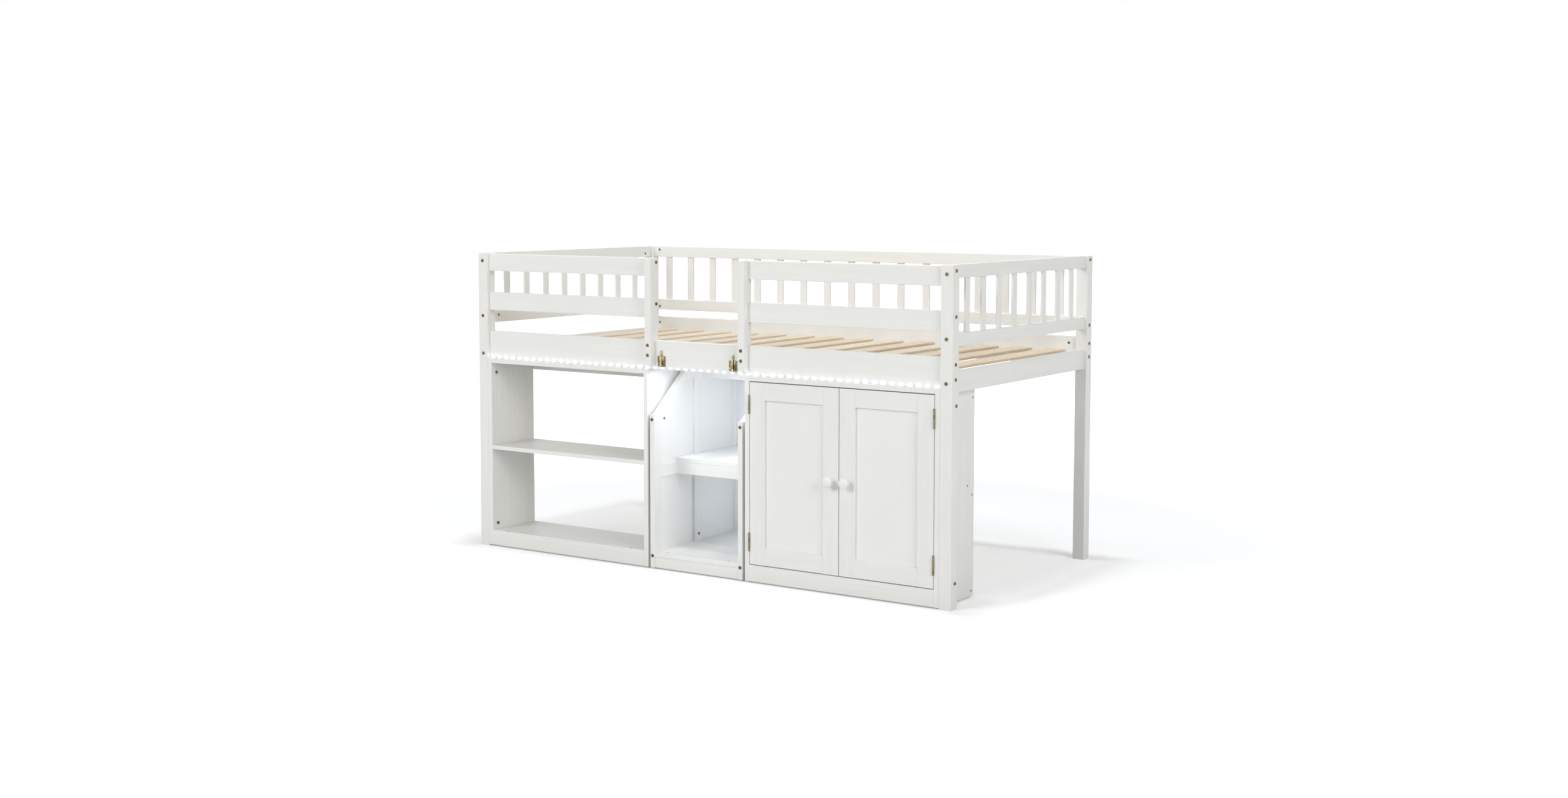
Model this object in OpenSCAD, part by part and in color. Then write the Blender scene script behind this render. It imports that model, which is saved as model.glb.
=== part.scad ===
// Cabin bed: a low sleeping deck with guard rails on four square posts, an open bookcase,
// a two-door cabinet and, between them, a staircase that slides out from under the deck.
// Millimetres, +Z up, front towards -Y, length along X.
// The parts are drawn from the bed's front left corner on the floor; place() then moves
// them so that the origin is the middle of the whole bed's footprint.

/* [Bed frame] */
// Length over the corner posts
bed_l = 2019; // [1990:1:2080]
// Width over the corner posts
bed_w = 1048; // [1020:1:1200]
// Height of the corner posts
bed_h = 1105; // [1095:1:1150]
// Side of the square corner posts
post = 44; // [42:1:48]
// Thickness of every rail
rail_t = 22; // [20:1:24]
// Radius of the eased long edges
ease = 2; // [1:0.5:3]

/* [Side rails] */
// Height of the underside of the long side rails
side_z = 711; // [705:1:725]
// Height of the long side rails
side_h = 101; // [96:1:110]
// How far the low end rails hang below the side rails
end_low_drop = 15; // [11:1:30]
// Height of the low end rails
end_low_h = 70; // [66:1:74]

/* [Guard rails] */
// Drop from the post tops to the front guard's top edge
guard_drop = 4; // [2:1:8]
// Height of the front guard's top rail
guard_top_h = 64; // [60:1:68]
// Height of the front guard's middle rail
guard_mid_h = 67; // [60:1:70]
// Height of the top rails of the ends and the back
top_rail_h = 44; // [40:1:48]
// Gap between the side rails and the middle rails of the ends and the back
mid_rail_gap = 29; // [20:1:40]
// Height of the middle rails of the ends and the back
mid_rail_h = 44; // [40:1:48]
// Clear width of the way in between the two guard posts
access_w = 372; // [350:1:384]
// Width of the guard posts
guard_post_w = 28; // [26:1:32]
// Height of the guard posts' feet above the side rail's underside
guard_foot = 14; // [12:1:20]

/* [Guard bars] */
// Width of a guard bar
bar_w = 30; // [26:1:34]
// Thickness of a guard bar
bar_t = 8; // [6:1:10]
// Spacing of the bars, which sets how many there are
bar_pitch = 111.5; // [108:0.5:113]
// Length of bar held in each rail
bar_tenon = 8; // [6:1:10]

/* [Mattress base] */
// Number of mattress slats
slats = 14; // [12:1:16]
// Width of a mattress slat
slat_w = 80; // [70:1:90]
// Thickness of a mattress slat
slat_t = 10; // [9:1:14]
// Width of the cleat that carries the slats
cleat_w = 20; // [18:1:30]
// Height of the cleat that carries the slats
cleat_h = 34; // [32:1:40]
// Height of the cleat above the side rail's underside
cleat_lift = 10; // [2:1:16]
// Gap between the first slat and the end of the deck
slat_margin = 56; // [40:1:60]

/* [Bookcase and cabinet] */
// Depth of each unit
unit_d = 235; // [225:1:300]
// Thickness of the carcass boards
board_t = 18; // [16:1:20]
// Thickness of the loose shelves
shelf_t = 15; // [12:1:18]
// Height of the bottom boards' top face
floor_z = 62; // [58:1:70]
// Height of the shelves' top face
shelf_z = 383; // [360:1:400]
// Height of the stretchers at the back
stretcher_h = 40; // [36:1:44]
// Thickness of the cabinet's and the staircase's back panel
back_t = 5; // [3:1:6]
// Height of the plastic glides under the units
glide_h = 5; // [4:1:8]
// Radius of the plastic glides
glide_r = 7; // [6:0.5:8]

/* [Doors] */
// Thickness of the door frames
door_t = 20; // [18:1:22]
// Width of the door's stiles and rails
stile_w = 60; // [50:1:70]
// Thickness of the door panel
panel_t = 6; // [4:1:7]
// Depth of the panel below the front of the door
panel_recess = 8; // [6:1:9]
// Gap between door and side board, filled by the hinge leaves
hinge_gap = 2.5; // [2.2:0.1:3.5]
// Gap along the doors' other edges
door_gap = 3; // [2:0.5:4]
// Radius of the knob's head
knob_r = 18; // [15:0.5:20]
// Reach of the knob in front of the door
knob_reach = 30; // [26:1:34]
// Length of the butt hinges
hinge_l = 62; // [50:1:70]
// Distance of a hinge's middle from the nearer end of its door
hinge_end = 76; // [50:1:110]

/* [Staircase] */
// Width over the staircase's sides
stair_w = 397; // [385:1:398]
// Depth of the staircase
stair_d = 519; // [500:1:560]
// Gap between the staircase and the unit on each side of it
stair_gap = 11; // [5:1:20]
// Gap between the staircase and the rail that it passes under
stair_clear = 7; // [4:1:12]
// Height of the front uprights
upright_h = 550; // [520:1:580]
// Depth of the front uprights
upright_d = 41; // [36:1:46]
// Thickness of the staircase's side frames
side_t = 18; // [16:1:20]
// Depth of the middle uprights
mid_upright_d = 48; // [40:1:56]
// Depth of the rear uprights
rear_upright_d = 18; // [16:1:22]
// Width of the sloping handrail board
slope_w = 55; // [50:1:60]
// How far back the slope reaches the staircase's top
slope_end_y = 199; // [185:1:215]
// Front edge of the second step
step2_y = 136; // [125:1:150]
// Front edge of the third step
step3_y = 289; // [275:1:300]
// Thickness of the second and third step
tread_t = 16; // [15:1:18]
// Height of the board under the second step's front edge
riser_h = 42; // [38:1:46]

/* [Fixings] */
// Radius of the connecting bolts
bolt_r = 3; // [2.5:0.5:3]
// Radius of the bolts' heads
head_r = 6; // [5:0.5:7]
// Height of the bolts' heads
head_h = 2; // [1.5:0.5:3]
// Depth of a barrel nut's centre in its rail
nut_in = 31; // [28:1:36]
// Radius of the barrel nuts
nut_r = 5; // [4.5:0.5:6]
// Radius of the wooden dowels
dowel_r = 4; // [3:0.5:4]
// Length of the wooden dowels
dowel_l = 30; // [24:1:34]

/* [Tower bolts] */
// Width of a tower bolt's plate
latch_w = 34; // [28:1:38]
// Height of a tower bolt's plate
latch_h = 37; // [34:1:44]
// Distance of a tower bolt's centre from the guard post
latch_in = 32; // [26:1:60]
// Radius of the sliding rod
rod_r = 3; // [2.5:0.25:3.5]
// Travel of the sliding rod
rod_travel = 24; // [20:1:26]
// Reach of the rod's grip in front of the rod
grip_reach = 16; // [10:1:18]

/* [Light strip] */
// Width of the light strip
led_w = 8; // [6:1:9]
// Spacing of the light chips
led_pitch = 33.3; // [20:0.1:50]

/* [Hidden] */

$fn = 32;
white = [0.93, 0.93, 0.915];
pine = [0.86, 0.72, 0.54];
bronze = [0.45, 0.36, 0.28];
brass = [0.72, 0.62, 0.40];
steel = [0.62, 0.63, 0.65];
plastic = [0.85, 0.85, 0.85];

slack = 0.3;                                     // clearance round a bolt
nut_skin = 3;                                    // wood left between a barrel nut and the outside
mid = post / 2;                                  // centre line of posts and rails
setback = (post - rail_t) / 2;                   // rail faces lie this far inside the post faces
side_top = side_z + side_h;
end_low_z = side_z - end_low_drop;
guard_top_z = bed_h - guard_drop - guard_top_h;
guard_mid_z = (side_top + guard_top_z - guard_mid_h) / 2;
mid_rail_z = side_top + mid_rail_gap;
top_rail_z = bed_h - top_rail_h;
guard_len = (bed_l - access_w) / 2 - guard_post_w - post;
guard_post_x = post + guard_len;                 // left guard post's outer face
slat_z = side_z + cleat_lift + cleat_h;          // underside of the mattress slats
slat_top = slat_z + slat_t;
end_len = bed_w - 2 * post;
side_len = bed_l - 2 * post;

// Heights of bolts and dowels above each rail's own underside
side_bolts = [29, 77];
side_dowels = [53];
guard_top_bolts = [guard_top_h - 15];
guard_top_dowels = [15];
guard_mid_bolts = [guard_mid_h - 18];
guard_mid_dowels = [18];
end_top_bolts = [14];
end_top_dowels = [top_rail_h - 12];
end_mid_bolts = [28];
end_mid_dowels = [11];
end_low_bolts = [32];
end_low_dowels = [52];
back_top_bolts = [top_rail_h - 14];
back_top_dowels = [12];
back_mid_bolts = [14];
back_mid_dowels = [32];
function raised(heights, z) = [for (h = heights) z + h];
front_x_bolts = concat(raised(side_bolts, side_z), raised(guard_mid_bolts, guard_mid_z),
                       raised(guard_top_bolts, guard_top_z));
front_x_dowels = concat(raised(side_dowels, side_z), raised(guard_mid_dowels, guard_mid_z),
                        raised(guard_top_dowels, guard_top_z));
back_x_bolts = concat(raised(side_bolts, side_z), raised(back_mid_bolts, mid_rail_z),
                      raised(back_top_bolts, top_rail_z));
back_x_dowels = concat(raised(side_dowels, side_z), raised(back_mid_dowels, mid_rail_z),
                       raised(back_top_dowels, top_rail_z));
y_bolts = concat(raised(end_low_bolts, end_low_z), raised(end_mid_bolts, mid_rail_z),
                 raised(end_top_bolts, top_rail_z));
y_dowels = concat(raised(end_low_dowels, end_low_z), raised(end_mid_dowels, mid_rail_z),
                  raised(end_top_dowels, top_rail_z));
unit_bolt_zs = [85, side_z - 55];                // bolts that tie a unit to its front post
unit_bolt_y = 27;
lap_bolts = [49, 84];                            // bolts of a guard post's lap, above side_z

unit_top = side_z;                               // the units reach the side rail's underside
unit_w = (side_len - stair_w) / 2 - stair_gap;
unit_in = unit_w - 2 * board_t;                  // clear width inside a unit
cabinet_x = bed_l - post - unit_w;
plinth_h = floor_z - board_t - glide_h;
stretcher_y = unit_d - back_t - board_t;         // front of the cabinet's stretchers
shelf_front = door_t + 5;                        // the cabinet's shelf stays clear of the doors

door_z = floor_z + door_gap;
door_h = unit_top - board_t - door_gap - door_z;
door_w = (unit_in - 2 * hinge_gap - door_gap) / 2;
left_door_x = cabinet_x + board_t + hinge_gap;
right_door_x = cabinet_x + unit_w - board_t - hinge_gap;   // right edge of the right door
panel_y = panel_recess;
knob_z = door_z + door_h / 2;
tongue = 8;                                      // how far tongue and panel enter a groove
groove_t = panel_t + 0.3;
leaf_t = (hinge_gap - 0.3) / 2;
leaf_w = door_t - 2;
knuckle_r = 3;
pin_r = 1.5;
knuckles = 5;

stair_x = (bed_l - stair_w) / 2;
stair_h = side_z - stair_clear;
stair_in = stair_w - 2 * side_t;
slope_start_y = 15;                              // the upright's top is level as far as this
slope = (stair_h - upright_h) / (slope_end_y - slope_start_y);
function slope_z(y) = upright_h + slope * (y - slope_start_y);
slope_v = slope_w * sqrt(1 + slope * slope);     // the sloping board's height, measured upright
top_side_z = stair_h - stretcher_h;              // underside of the top side rails
// The sloping board is mitred to the top side rail, down to this depth
mitre_y = slope_start_y + (top_side_z + slope_v - upright_h) / slope;
step2_z = (floor_z + stair_h) / 2;               // top of the second step
rail2_z = step2_z - tread_t - riser_h;           // underside of the middle side rails
rail2_top = step2_z - tread_t;
rear_y = stair_d - back_t - rear_upright_d;      // front of the rear uprights
frame_back = stair_d - back_t;
mid_y = step3_y - mid_upright_d;
stair_panel_x = 3;                               // the panels lie nearer the outside
panel_hold = 6;                                  // edge of a side panel held in the frame

latch_zs = side_z + 10;                          // lower edge of the tower bolts' plates
latch_plate_t = 1.5;
barrel_r = rod_r + 1.8;
barrel_y = setback - latch_plate_t - rod_r - 1;  // the rod runs close to its plate
rod_rest_z = latch_zs - 1;
rod_l = latch_h + 22;
grip_z = latch_zs + 12;                          // height of the rod's grip when it is drawn back
stair_travel = stair_d - 29;                     // the pulled-out staircase still reaches the rail
strike_y = barrel_y + stair_travel;
// The tower bolts stand over the staircase, beside the guard posts
rod_xs = [guard_post_x + guard_post_w + latch_in, bed_l - guard_post_x - guard_post_w - latch_in];
plate_screw_l = 12;
led_z = side_z + 0.7;
led_tape_t = 0.4;
led_chip = 5;
led_chip_t = 1.6;
origin_y = (bed_w + head_h - knob_reach) / 2;

// ---- placing and shared shapes ----

module place() translate([-bed_l / 2, -origin_y, 0]) children();

// The same thing at both ends of the bed, mirrored
module both_ends() {
    children();
    translate([bed_l, 0, 0]) mirror([1, 0, 0]) children();
}

// The same thing at the front and at the back, mirrored
module at_back() translate([0, bed_w, 0]) mirror([0, 1, 0]) children();

module eased_rect(a, b, r) {
    translate([r, 0]) square([a - 2 * r, b]);
    translate([0, r]) square([a, b - 2 * r]);
    for (x = [r, a - r], y = [r, b - r]) translate([x, y]) circle(r = r);
}

// Boards with their four long edges eased, named by the way their grain runs
module board_x(size, r = ease)
    rotate([90, 0, 90]) linear_extrude(size.x) eased_rect(size.y, size.z, r);
module board_y(size, r = ease)
    translate([0, size.y, 0]) rotate([90, 0, 0]) linear_extrude(size.y) eased_rect(size.x, size.z, r);
module board_z(size, r = ease) linear_extrude(size.z) eased_rect(size.x, size.y, r);
// A post: its top end is eased as well
module post_blank(size) intersection() {
    board_z(size);
    translate([0, 0, -ease]) board_x([size.x, size.y, size.z + ease]);
    translate([0, 0, -ease]) board_y([size.x, size.y, size.z + ease]);
}

// A flat shape in the Y-Z plane, given its thickness along X
module side_shape(points, t) rotate([90, 0, 90]) linear_extrude(t) polygon(points);

module rod_x(r, l) rotate([0, 90, 0]) cylinder(r = r, h = l);
module rod_y(r, l) rotate([-90, 0, 0]) cylinder(r = r, h = l);

// Bolt with a flat hexagon-socket head; the head sits on x = 0 and the shank runs along +X
module bolt(l) rotate([0, 90, 0]) difference() {
    union() {
        cylinder(r = bolt_r, h = l);
        translate([0, 0, -head_h]) cylinder(r1 = head_r - 0.6, r2 = head_r, h = 0.6);
        translate([0, 0, 0.6 - head_h]) cylinder(r = head_r, h = head_h - 0.6);
    }
    translate([0, 0, -head_h - 1]) cylinder(r = 2.3, h = head_h + 2.5, $fn = 6);
}

// Countersunk screw, pointing down from z = 0, and the hole that it needs
screw_r = 2;
small_screw_r = 1.3;
module screw(l, r = screw_r) {
    translate([0, 0, -l]) cylinder(r = r, h = l);
    translate([0, 0, -1.2 * r]) cylinder(r1 = r, r2 = 2 * r, h = 1.2 * r);
}
module screw_hole(l, r = screw_r) {
    translate([0, 0, -l - 1]) cylinder(r = r + 0.1, h = l + 2);
    translate([0, 0, -1.2 * r - 0.1]) cylinder(r1 = r + 0.1, r2 = 2 * r + 0.1, h = 1.2 * r);
    translate([0, 0, -0.1]) cylinder(r = 2 * r + 0.1, h = 1);
}

// ---- rails ----

// Bores in one end of a rail that starts at x = 0; the barrel nuts go in from the inner face
module end_bores(bolts, dowels) {
    for (z = bolts) {
        translate([-1, rail_t / 2, z]) rod_x(bolt_r + slack, nut_in + 11);
        translate([nut_in, nut_skin, z]) rod_y(nut_r + 0.1, rail_t);
    }
    for (z = dowels)
        translate([-1, rail_t / 2, z]) rod_x(dowel_r + 0.1, dowel_l / 2 + 2);
}

// A rail with its bores, from x = 0 to len, outer face at y = 0
module rail(len, h, bolts, dowels) difference() {
    board_x([len, rail_t, h]);
    end_bores(bolts, dowels);
    translate([len, 0, 0]) mirror([1, 0, 0]) end_bores(bolts, dowels);
}

function bar_count(len) = floor(len / bar_pitch);
function bar_places(len) =
    [for (i = [1:bar_count(len)]) len / 2 + (i - (bar_count(len) + 1) / 2) * bar_pitch - bar_w / 2];

// Mortises for the guard bars, cut at height z in a rail of length len
module mortises(len, z)
    for (x = bar_places(len))
        translate([x - 0.1, (rail_t - bar_t) / 2 - 0.1, z])
            cube([bar_w + 0.2, bar_t + 0.2, bar_tenon + 1]);

module bars(len) {
    z = mid_rail_z + mid_rail_h - bar_tenon;
    for (x = bar_places(len))
        translate([x, (rail_t - bar_t) / 2, z])
            board_z([bar_w, bar_t, top_rail_z + bar_tenon - z], 1);
}

// Turns a rail so that it runs along Y with its outer face towards the left end
module at_left_end(z) translate([setback, bed_w - post, z]) rotate([0, 0, -90]) children();

module side_rail() difference() {
    translate([post, setback, side_z]) rail(side_len, side_h, side_bolts, side_dowels);
    lap_bores();
}
module front_side_rail() place() color(white) difference() {
    side_rail();
    unit_top_screws() screw_hole(unit_screw_l);
    for (x = rod_xs) plate_screw_places(x) screw_hole(plate_screw_l, small_screw_r);
}
module back_side_rail() place() color(white) at_back()
    translate([post, setback, side_z]) rail(side_len, side_h, side_bolts, side_dowels);
module back_top_rail() place() color(white) at_back() translate([post, setback, top_rail_z])
    difference() {
        rail(side_len, top_rail_h, back_top_bolts, back_top_dowels);
        mortises(side_len, -1);
    }
module back_mid_rail() place() color(white) at_back() translate([post, setback, mid_rail_z])
    difference() {
        rail(side_len, mid_rail_h, back_mid_bolts, back_mid_dowels);
        mortises(side_len, mid_rail_h - bar_tenon);
    }
module end_top_rails() place() color(white) both_ends() at_left_end(top_rail_z) difference() {
    rail(end_len, top_rail_h, end_top_bolts, end_top_dowels);
    mortises(end_len, -1);
}
module end_mid_rails() place() color(white) both_ends() at_left_end(mid_rail_z) difference() {
    rail(end_len, mid_rail_h, end_mid_bolts, end_mid_dowels);
    mortises(end_len, mid_rail_h - bar_tenon);
}
module end_low_rails() place() color(white) both_ends() at_left_end(end_low_z)
    rail(end_len, end_low_h, end_low_bolts, end_low_dowels);
module guard_top_rails() place() color(white) both_ends() translate([post, setback, guard_top_z])
    rail(guard_len, guard_top_h, guard_top_bolts, guard_top_dowels);
module guard_mid_rails() place() color(white) both_ends() translate([post, setback, guard_mid_z])
    rail(guard_len, guard_mid_h, guard_mid_bolts, guard_mid_dowels);
module end_bars() place() color(white) both_ends() at_left_end(0) bars(end_len);
module back_bars() place() color(white) at_back() translate([post, setback, 0])
    bars(side_len);

// ---- posts ----

module post_bores(x_bolts, x_dowels) {
    for (z = x_bolts) translate([-1, mid, z]) rod_x(bolt_r + slack, post + 2);
    for (z = y_bolts) translate([mid, -1, z]) rod_y(bolt_r + slack, post + 2);
    for (z = x_dowels) translate([post - dowel_l / 2 - 1, mid, z]) rod_x(dowel_r + 0.1, dowel_l);
    for (z = y_dowels) translate([mid, post - dowel_l / 2 - 1, z]) rod_y(dowel_r + 0.1, dowel_l);
}
module front_post() difference() {
    post_blank([post, post, bed_h]);
    post_bores(front_x_bolts, front_x_dowels);
    for (z = unit_bolt_zs) translate([-1, unit_bolt_y, z]) rod_x(bolt_r + slack, post + 2);
}
module back_post() difference() {
    post_blank([post, post, bed_h]);
    post_bores(back_x_bolts, back_x_dowels);
}
module to_right() translate([bed_l, 0, 0]) mirror([1, 0, 0]) children();
module front_left_post() place() color(white) front_post();
module front_right_post() place() color(white) to_right() front_post();
module back_left_post() place() color(white) at_back() back_post();
module back_right_post() place() color(white) to_right() at_back() back_post();

// Guard post: it stands in front of the side rail, lapped over it, and takes the guard rails' ends
guard_post_d = post;
lap_y = setback - (guard_post_d - rail_t);       // front face of the guard posts
module guard_post() difference() {
    translate([guard_post_x, lap_y, side_z + guard_foot])
        post_blank([guard_post_w, guard_post_d, bed_h - guard_drop - side_z - guard_foot]);
    translate([guard_post_x - 1, setback, side_z])
        cube([guard_post_w + 2, guard_post_d, side_h]);
    for (z = concat(raised(guard_mid_bolts, guard_mid_z), raised(guard_top_bolts, guard_top_z)))
        translate([guard_post_x - 1, mid, z]) rod_x(bolt_r + slack, guard_post_w + 2);
    for (z = concat(raised(guard_mid_dowels, guard_mid_z), raised(guard_top_dowels, guard_top_z)))
        translate([guard_post_x - 1, mid, z]) rod_x(dowel_r + 0.1, dowel_l / 2 + 2);
    lap_bores();
}
module lap_bores() both_ends()
    for (z = raised(lap_bolts, side_z))
        translate([guard_post_x + guard_post_w / 2, lap_y - 1, z])
            rod_y(bolt_r + slack, guard_post_d - 3);
module left_guard_post() place() color(white) guard_post();
module right_guard_post() place() color(white) to_right() guard_post();

// ---- mattress base ----

module slat_cleats() place() color(white) difference() {
    for (y = [post - setback, bed_w - post + setback - cleat_w])
        translate([post, y, side_z + cleat_lift]) board_x([side_len, cleat_w, cleat_h], 1);
    slat_screw_places() screw_hole(40);
}
function slat_x(i) = post - setback + slat_margin + i * (side_len + 2 * setback
    - 2 * slat_margin - slat_w) / (slats - 1);
module mattress_slats() place() color(pine) difference() {
    for (i = [0:slats - 1])
        translate([slat_x(i), post - setback + 1, slat_z])
            board_y([slat_w, bed_w - 2 * (post - setback + 1), slat_t], 3);
    slat_screw_places() screw_hole(40);
}
module slat_screw_places()
    for (i = [0:slats - 1], y = [post - setback + cleat_w / 2, bed_w - post + setback - cleat_w / 2])
        translate([slat_x(i) + slat_w / 2, y, slat_top]) children();

// ---- light strip ----

module led_tape() place() color("white")
    translate([post, setback - led_tape_t, led_z]) cube([side_len, led_tape_t, led_w]);
led_count = floor((side_len - led_chip) / led_pitch);
module led_chips() place() color("white")
    for (i = [0:led_count])
        translate([bed_l / 2 + (i - led_count / 2) * led_pitch - led_chip / 2,
                   setback - led_tape_t - led_chip_t, led_z + (led_w - led_chip) / 2])
            cube([led_chip, led_chip_t, led_chip]);

// ---- fixings of the frame ----

bolt_l = post + nut_in + nut_r + 3;
guard_bolt_l = guard_post_w + nut_in + nut_r + 3;
module frame_bolts() place() color(bronze) {
    both_ends() {
        for (z = front_x_bolts) translate([0, mid, z]) bolt(bolt_l);
        for (z = back_x_bolts) translate([0, bed_w - mid, z]) bolt(bolt_l);
        for (z = y_bolts) {
            translate([mid, 0, z]) rotate([0, 0, 90]) bolt(bolt_l);
            translate([mid, bed_w, z]) rotate([0, 0, -90]) bolt(bolt_l);
        }
        for (z = concat(raised(guard_mid_bolts, guard_mid_z), raised(guard_top_bolts, guard_top_z)))
            translate([guard_post_x + guard_post_w, mid, z]) rotate([0, 0, 180]) bolt(guard_bolt_l);
        for (z = raised(lap_bolts, side_z))
            translate([guard_post_x + guard_post_w / 2, lap_y, z])
                rotate([0, 0, 90]) bolt(guard_post_d - 6);
        for (z = unit_bolt_zs)
            translate([0, unit_bolt_y, z]) bolt(post + board_t - 1);
    }
}

// Barrel nut across a rail, its axis along Y, drilled through for the bolt and slotted to be turned
module barrel_nut() difference() {
    rod_y(nut_r, rail_t - nut_skin - 1);
    translate([-nut_r - 1, rail_t / 2 - nut_skin, 0]) rod_x(bolt_r + 0.1, 2 * nut_r + 2);
    translate([-nut_r - 1, rail_t - nut_skin - 2, -0.6]) cube([2 * nut_r + 2, 2, 1.2]);
}
module rail_nuts(len, z, bolts)
    for (b = bolts, x = [nut_in, len - nut_in])
        translate([x, nut_skin, z + b]) barrel_nut();
module barrel_nuts() place() color(steel) {
    translate([post, setback, 0]) rail_nuts(side_len, side_z, side_bolts);
    at_back() translate([post, setback, 0]) {
        rail_nuts(side_len, side_z, side_bolts);
        rail_nuts(side_len, mid_rail_z, back_mid_bolts);
        rail_nuts(side_len, top_rail_z, back_top_bolts);
    }
    both_ends() {
        translate([post, setback, 0]) {
            rail_nuts(guard_len, guard_mid_z, guard_mid_bolts);
            rail_nuts(guard_len, guard_top_z, guard_top_bolts);
        }
        at_left_end(0) {
            rail_nuts(end_len, end_low_z, end_low_bolts);
            rail_nuts(end_len, mid_rail_z, end_mid_bolts);
            rail_nuts(end_len, top_rail_z, end_top_bolts);
        }
        for (z = unit_bolt_zs) translate([post + board_t, unit_bolt_y, z]) rod_x(nut_r + 1, 2);
    }
}

module rail_dowels(len, z, dowels)
    for (d = dowels, x = [0, len])
        translate([x - dowel_l / 2, rail_t / 2, z + d]) rod_x(dowel_r, dowel_l);
module dowels() place() color(pine) {
    translate([post, setback, 0]) rail_dowels(side_len, side_z, side_dowels);
    at_back() translate([post, setback, 0]) {
        rail_dowels(side_len, side_z, side_dowels);
        rail_dowels(side_len, mid_rail_z, back_mid_dowels);
        rail_dowels(side_len, top_rail_z, back_top_dowels);
    }
    both_ends() {
        translate([post, setback, 0]) {
            rail_dowels(guard_len, guard_mid_z, guard_mid_dowels);
            rail_dowels(guard_len, guard_top_z, guard_top_dowels);
        }
        at_left_end(0) {
            rail_dowels(end_len, end_low_z, end_low_dowels);
            rail_dowels(end_len, mid_rail_z, end_mid_dowels);
            rail_dowels(end_len, top_rail_z, end_top_dowels);
        }
    }
}

// Screws up through the units' tops into the side rail, and into shelves and stretchers
unit_screw_in = unit_w / 6;
unit_screw_xs = [for (x = [post, cabinet_x], dx = [unit_screw_in, unit_w - unit_screw_in]) x + dx];
unit_screw_l = board_t + 20;
side_screw_l = board_t + 22;
// [depth, height] of the screws through a unit's side boards
function side_screws(x) = x == cabinet_x
    ? concat(shelf_screws, stretcher_screws(stretcher_y, [stretcher_zs[0], stretcher_zs[1], 22]))
    : concat(shelf_screws, stretcher_screws(unit_d - board_t, [stretcher_zs[0], 22]));
shelf_screws = [[36, shelf_z - shelf_t / 2], [189, shelf_z - shelf_t / 2]];
stretcher_zs = [unit_top - 47, shelf_z - shelf_t - 26];
function stretcher_screws(y, zs) = [for (z = zs) [y + board_t / 2, z]];
module side_screw_places(x) for (s = side_screws(x)) {
    translate([x, s[0], s[1]]) rotate([0, -90, 0]) children();
    translate([x + unit_w, s[0], s[1]]) rotate([0, 90, 0]) children();
}
module unit_top_screws() for (x = unit_screw_xs)
    translate([x, mid, unit_top - board_t]) rotate([180, 0, 0]) children();
module floor_screw_places() for (x = [post, cabinet_x], dx = [unit_w / 9, unit_w * 8 / 9])
    translate([x + dx, board_t / 2, floor_z]) children();
module wood_screws() place() color(bronze) {
    slat_screw_places() screw(38);
    unit_top_screws() screw(unit_screw_l);
    side_screw_places(post) screw(side_screw_l);
    side_screw_places(cabinet_x) screw(side_screw_l);
    floor_screw_places() screw(38);
    for (x = rod_xs) plate_screw_places(x) screw(plate_screw_l, small_screw_r);
}

// ---- bookcase and cabinet ----

module unit_sides(x) difference() {
    for (dx = [0, unit_w - board_t])
        translate([x + dx, 0, glide_h]) board_z([board_t, unit_d, unit_top - glide_h], 1);
    side_screw_places(x) screw_hole(side_screw_l);
    both_ends() for (z = unit_bolt_zs)
        translate([post - 1, unit_bolt_y, z]) rod_x(bolt_r + slack, board_t + 2);
}
// A board between a unit's sides, from height z, in depth y0 to y1
module unit_board(x, z, t, y0, y1) difference() {
    translate([x + board_t, y0, z]) board_x([unit_in, y1 - y0, t], 1);
    side_screw_places(x) screw_hole(side_screw_l);
    unit_top_screws() screw_hole(unit_screw_l);
    floor_screw_places() screw_hole(38);
}
module bookcase_sides() place() color(white) unit_sides(post);
module bookcase_top() place() color(white)
    unit_board(post, unit_top - board_t, board_t, 0, unit_d);
module bookcase_shelf() place() color(white)
    unit_board(post, shelf_z - shelf_t, shelf_t, 0, unit_d);
module bookcase_floor() place() color(white)
    unit_board(post, floor_z - board_t, board_t, 0, unit_d);
module bookcase_plinth() place() color(white)
    unit_board(post, glide_h, plinth_h, 0, board_t);
module bookcase_stretchers() place() color(white)
    for (z = [[unit_top - board_t - stretcher_h, stretcher_h], [glide_h, plinth_h]])
        unit_board(post, z[0], z[1], unit_d - board_t, unit_d);
module cabinet_sides() place() color(white) unit_sides(cabinet_x);
module cabinet_top() place() color(white)
    unit_board(cabinet_x, unit_top - board_t, board_t, 0, unit_d - back_t);
module cabinet_shelf() place() color(white)
    unit_board(cabinet_x, shelf_z - shelf_t, shelf_t, shelf_front, unit_d - back_t);
module cabinet_floor() place() color(white)
    unit_board(cabinet_x, floor_z - board_t, board_t, 0, unit_d - back_t);
module cabinet_plinth() place() color(white)
    unit_board(cabinet_x, glide_h, plinth_h, 0, board_t);
module cabinet_stretchers() place() color(white)
    for (z = [[unit_top - board_t - stretcher_h, stretcher_h],
              [shelf_z - shelf_t - stretcher_h, stretcher_h], [glide_h, plinth_h]])
        unit_board(cabinet_x, z[0], z[1], stretcher_y, unit_d - back_t);
module cabinet_back() place() color(white)
    translate([cabinet_x + board_t, unit_d - back_t, glide_h])
        cube([unit_in, back_t, unit_top - glide_h]);

module glide() {
    cylinder(r1 = glide_r - 1, r2 = glide_r, h = 1);
    translate([0, 0, 1]) cylinder(r = glide_r, h = glide_h - 1);
}
module unit_glides() place() color(plastic)
    for (x = [post, cabinet_x], dx = [board_t / 2, unit_w - board_t / 2], y = [20, unit_d - 20])
        translate([x + dx, y, 0]) glide();

// ---- doors ----

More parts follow.
